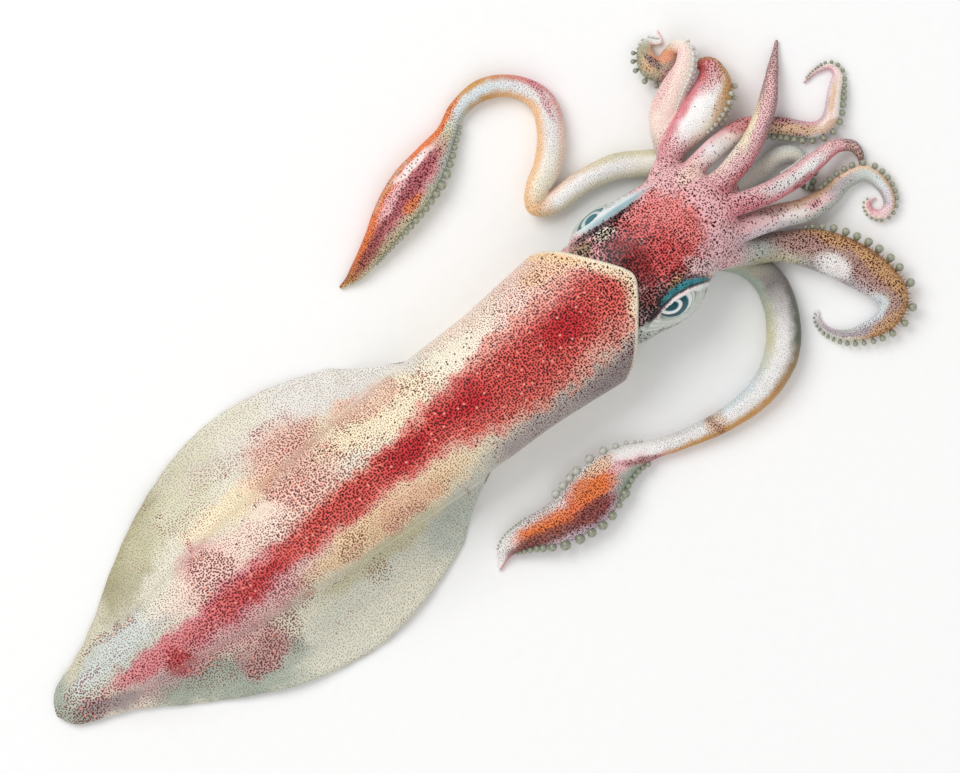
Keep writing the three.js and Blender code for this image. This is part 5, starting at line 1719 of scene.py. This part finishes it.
def makeFringe(name, limb, hand, shares, step, length, radius, colours, slot, nodeName):
    # a ragged row of small points of skin along a limb's edge: cones of uneven length and lean
    stations = limbs[limb]["stations"]
    shares = np.linspace(*shares, fringes["steps"])
    middle = frames(stations, shares)["middle"]
    run = runLength(middle)
    count = int(run[-1] / step)
    f = frames(stations, np.interp(np.linspace(0, run[-1], count), run, shares))
    key = np.arange(count)[:, None] * (1.7, 0.0, 0.0)
    chance, lean, rise = (grain(key, 1.0, seed)[:, None] for seed in (171, 173, 175))
    taper = np.sqrt(np.sin(np.linspace(0.1, np.pi - 0.1, count)))[:, None]
    high = f["up"] * np.sign(f["up"][:, 2:])
    out = unit(f["side"] * hand + f["ahead"] * (0.35 * lean) + high * (0.15 + 0.35 * rise))
    base = f["middle"] + f["side"] * (hand * 0.8 * f["a"])[:, None] + high * (0.5 * f["b"])[:, None]
    tips = base + out * (length * taper * (1 + 0.4 * chance))
    tips[:, 2] = np.maximum(tips[:, 2], 0.3)
    cosine, sine = circle(fringes["sides"])
    rings = f["ahead"][:, None] * cosine + np.cross(out, f["ahead"])[:, None] * sine
    rings = base[:, None] + radius * rings - out[:, None] * 0.5
    tone = lerp(*(named(colour) for colour in colours), 0.5 + 0.5 * lean)
    tone = np.repeat(tone[:, None], fringes["sides"] + 2, 1)
    makeCopies(name, rings[:, None], base - out * 0.8, tips, tone, slot, nodeName)


def cupMaterial():
    # firm pale cups: the tone attribute, mottled a little, with a wet sheen
    material, tree, shader, place = newMaterial("suckerFlesh", cups["finish"])
    cloud = noise(tree, place, cups["cloudNoise"])
    bump = node(tree, "ShaderNodeBump", Height=cloud, Distance=cups["bump"], Strength=bumpStrength)
    colour = toned(tree, cloud, cups["cloudLight"])
    feed(tree, shader, {"Base Color": colour, "Normal": bump.outputs["Normal"]})
    return material


cupLook = cupMaterial()
makeCups("armCups", armNames, "head_skin", "head_with_arms")
makeCups("clubCupsLeft", ["leftTentacle"], "tentacle_skin", "tentacle_left")
makeCups("clubCupsRight", ["rightTentacle"], "tentacle_skin", "tentacle_right")
makeFringe(*fringes["rows"][0], "head_skin", "head_with_arms")
makeFringe(*fringes["rows"][1], "tentacle_skin", "tentacle_left")


# The eyes
eye = {
    "rings": 90,
    "sides": 144,
    "iris": {  # middle along and across the eye, half-length and half-height, in mm
        "left": (-0.9, 1.8, 5.9, 5.6),
        "right": (-3.2, 0.2, 5.6, 4.7),
    },
    "almond": (1.8, 1.9),  # the rings' powers
    "tint": {"left": 0.4, "right": 0.05},  # how much teal lies over the eye
    "cloudNoise": (1500.0, 3.0),
    "cloudLight": (0.8, 1.15),
    "roughness": (0.12, 0.22),
    "finish": {"Specular IOR Level": 0.15, "Coat Weight": 0.4, "Coat Roughness": 0.03},
    "drift": (0.10, 0.28),  # how far the inner rings lie off the iris's middle, as shares of it
    "bands": [  # distance from the iris's middle as a share of its outline, and the colour there
        (0.0, "teal"), (0.35, "deepTeal"), (0.41, "lidTeal"), (0.47, "white"), (0.62, "white"),
        (0.67, "deepTeal"), (0.82, "teal"), (0.96, "deepTeal"), (1.02, "lidTeal"), (1.08, "white"),
        (1.25, "white"), (1.31, "greyGreen"), (1.38, "white"), (1.52, "seaGrey"), (1.58, "greyGreen"),
        (1.66, "white"),
    ],
}


def eyeMaterial():
    # a clear wet cover over the painted rings
    material, tree, shader, place = newMaterial("eyeCover", eye["finish"])
    cloud = noise(tree, place, eye["cloudNoise"])
    colour = toned(tree, cloud, eye["cloudLight"])
    feed(tree, shader, {"Base Color": colour, "Roughness": ranged(tree, cloud, eye["roughness"])})
    return material


def makeEye(name, side, nodeName):
    # a flattened ball whose rings of colour are almonds round a pupil a little ahead of its middle
    seat = eyeSeats[side]
    points, quads, ends = ball(seat, head["eyeRadius"], head["eyeDepth"], eye["rings"], eye["sides"])
    u, v, _ = seatPlace(points, seat)
    middleU, middleV, halfLength, halfHeight = eye["iris"][side]
    u = (u - middleU) / halfLength
    v = (v - middleV) / halfHeight
    inward = np.clip(1 - np.hypot(u, v), 0, 1)
    u = u - eye["drift"][0] * inward
    v = v - eye["drift"][1] * inward
    blunt, root = eye["almond"]
    almond = (np.abs(u) ** blunt + np.abs(v) ** 2) ** (1 / root)
    stops, colours = zip(*eye["bands"])
    colours = np.array([named(colour) for colour in colours])
    tone = np.stack([np.interp(almond, stops, column) for column in colours.T], -1)
    tone = over(tone, "lidTeal", eye["tint"][side])
    piece = makePiece(name, points, quads, ends, {"tone": tone})
    dress(piece, eyeLook, "eye", nodeName)


eyeLook = eyeMaterial()
makeEye("eyeLeftBall", "left", "eye_left")
makeEye("eyeRightBall", "right", "eye_right")
print("eyes made")


# Floor, light and camera
view = {
    "middle": (158.9, 1.4),  # mm, the place in the view's middle
    "width": 288.0,  # mm across the view
    "turn": -37.4,  # degrees from the body's axis to the view's right side
    "height": 2.4,  # m
    "level": 10.0,  # mm, the height at which the width is measured
    "sensor": 36.0,  # mm
    "farthest": 20.0,  # m that the camera sees
}
light = {
    "world": 0.5,
    "lamps": [  # name, place and size in m, watts
        ("keyLight", (-0.2, 1.5, 1.9), 1.6, 33.0), ("fillLight", (-0.7, -1.3, 2.0), 2.2, 13.0),
    ],
}
stage = {
    "reach": 6.0,  # m from the middle to a side
    "colours": ((0.95, 0.95, 0.947, 1), (0.98, 0.98, 0.977, 1)),
    "grain": (300.0, 2.0),  # cells to a metre and detail
    "roughness": 0.9,
}


def areaLight(name, place, size, watts):
    # a square soft light at a place in metres, turned to face the middle of the floor
    lamp = bpy.data.lights.new(name, "AREA")
    lamp.size = size
    lamp.energy = watts
    holder = newObject(name, lamp)
    x, y, z = place
    holder.location = place
    holder.rotation_euler = (math.atan2(math.hypot(x, y), z), 0, math.atan2(x, -y))


def makeStage():
    # a wide flat floor with its own faint grain
    size = stage["reach"]
    mesh = bpy.data.meshes.new("floor")
    corners = [(-size, -size, 0), (size, -size, 0), (size, size, 0), (-size, size, 0)]
    mesh.from_pydata(corners, [], [(0, 1, 2, 3)])
    floor = newObject("floor", mesh)
    material, tree, shader, place = newMaterial("floorPaint", {"Roughness": stage["roughness"]})
    darker, lighter = stage["colours"]
    feed(tree, shader, {"Base Color": mixed(tree, noise(tree, place, stage["grain"]), darker, lighter)})
    mesh.materials.append(material)


def makeCamera():
    # a long lens straight above, turned so that the body runs from the lower left to the upper right
    camera = bpy.data.cameras.new("camera")
    camera.sensor_width = view["sensor"]
    camera.lens = view["sensor"] * (view["height"] * 1000 - view["level"]) / view["width"]
    camera.clip_end = view["farthest"]
    holder = newObject("camera", camera)
    x, y = (np.array(view["middle"]) + tailPoint[:2]) / 1000
    holder.location = (x, y, view["height"])
    holder.rotation_euler = (0, 0, math.radians(view["turn"]))
    bpy.context.scene.camera = holder


def makeWorld():
    # an even white sky
    world = bpy.data.worlds.new("world")
    world.use_nodes = True
    sky = world.node_tree.nodes["Background"]
    sky.inputs["Color"].default_value = (1, 1, 1, 1)
    sky.inputs["Strength"].default_value = light["world"]
    bpy.context.scene.world = world


makeStage()
makeCamera()
makeWorld()
for lamp in light["lamps"]:
    areaLight(*lamp)
bpy.context.scene.view_settings.view_transform = "Standard"
print("stage made")
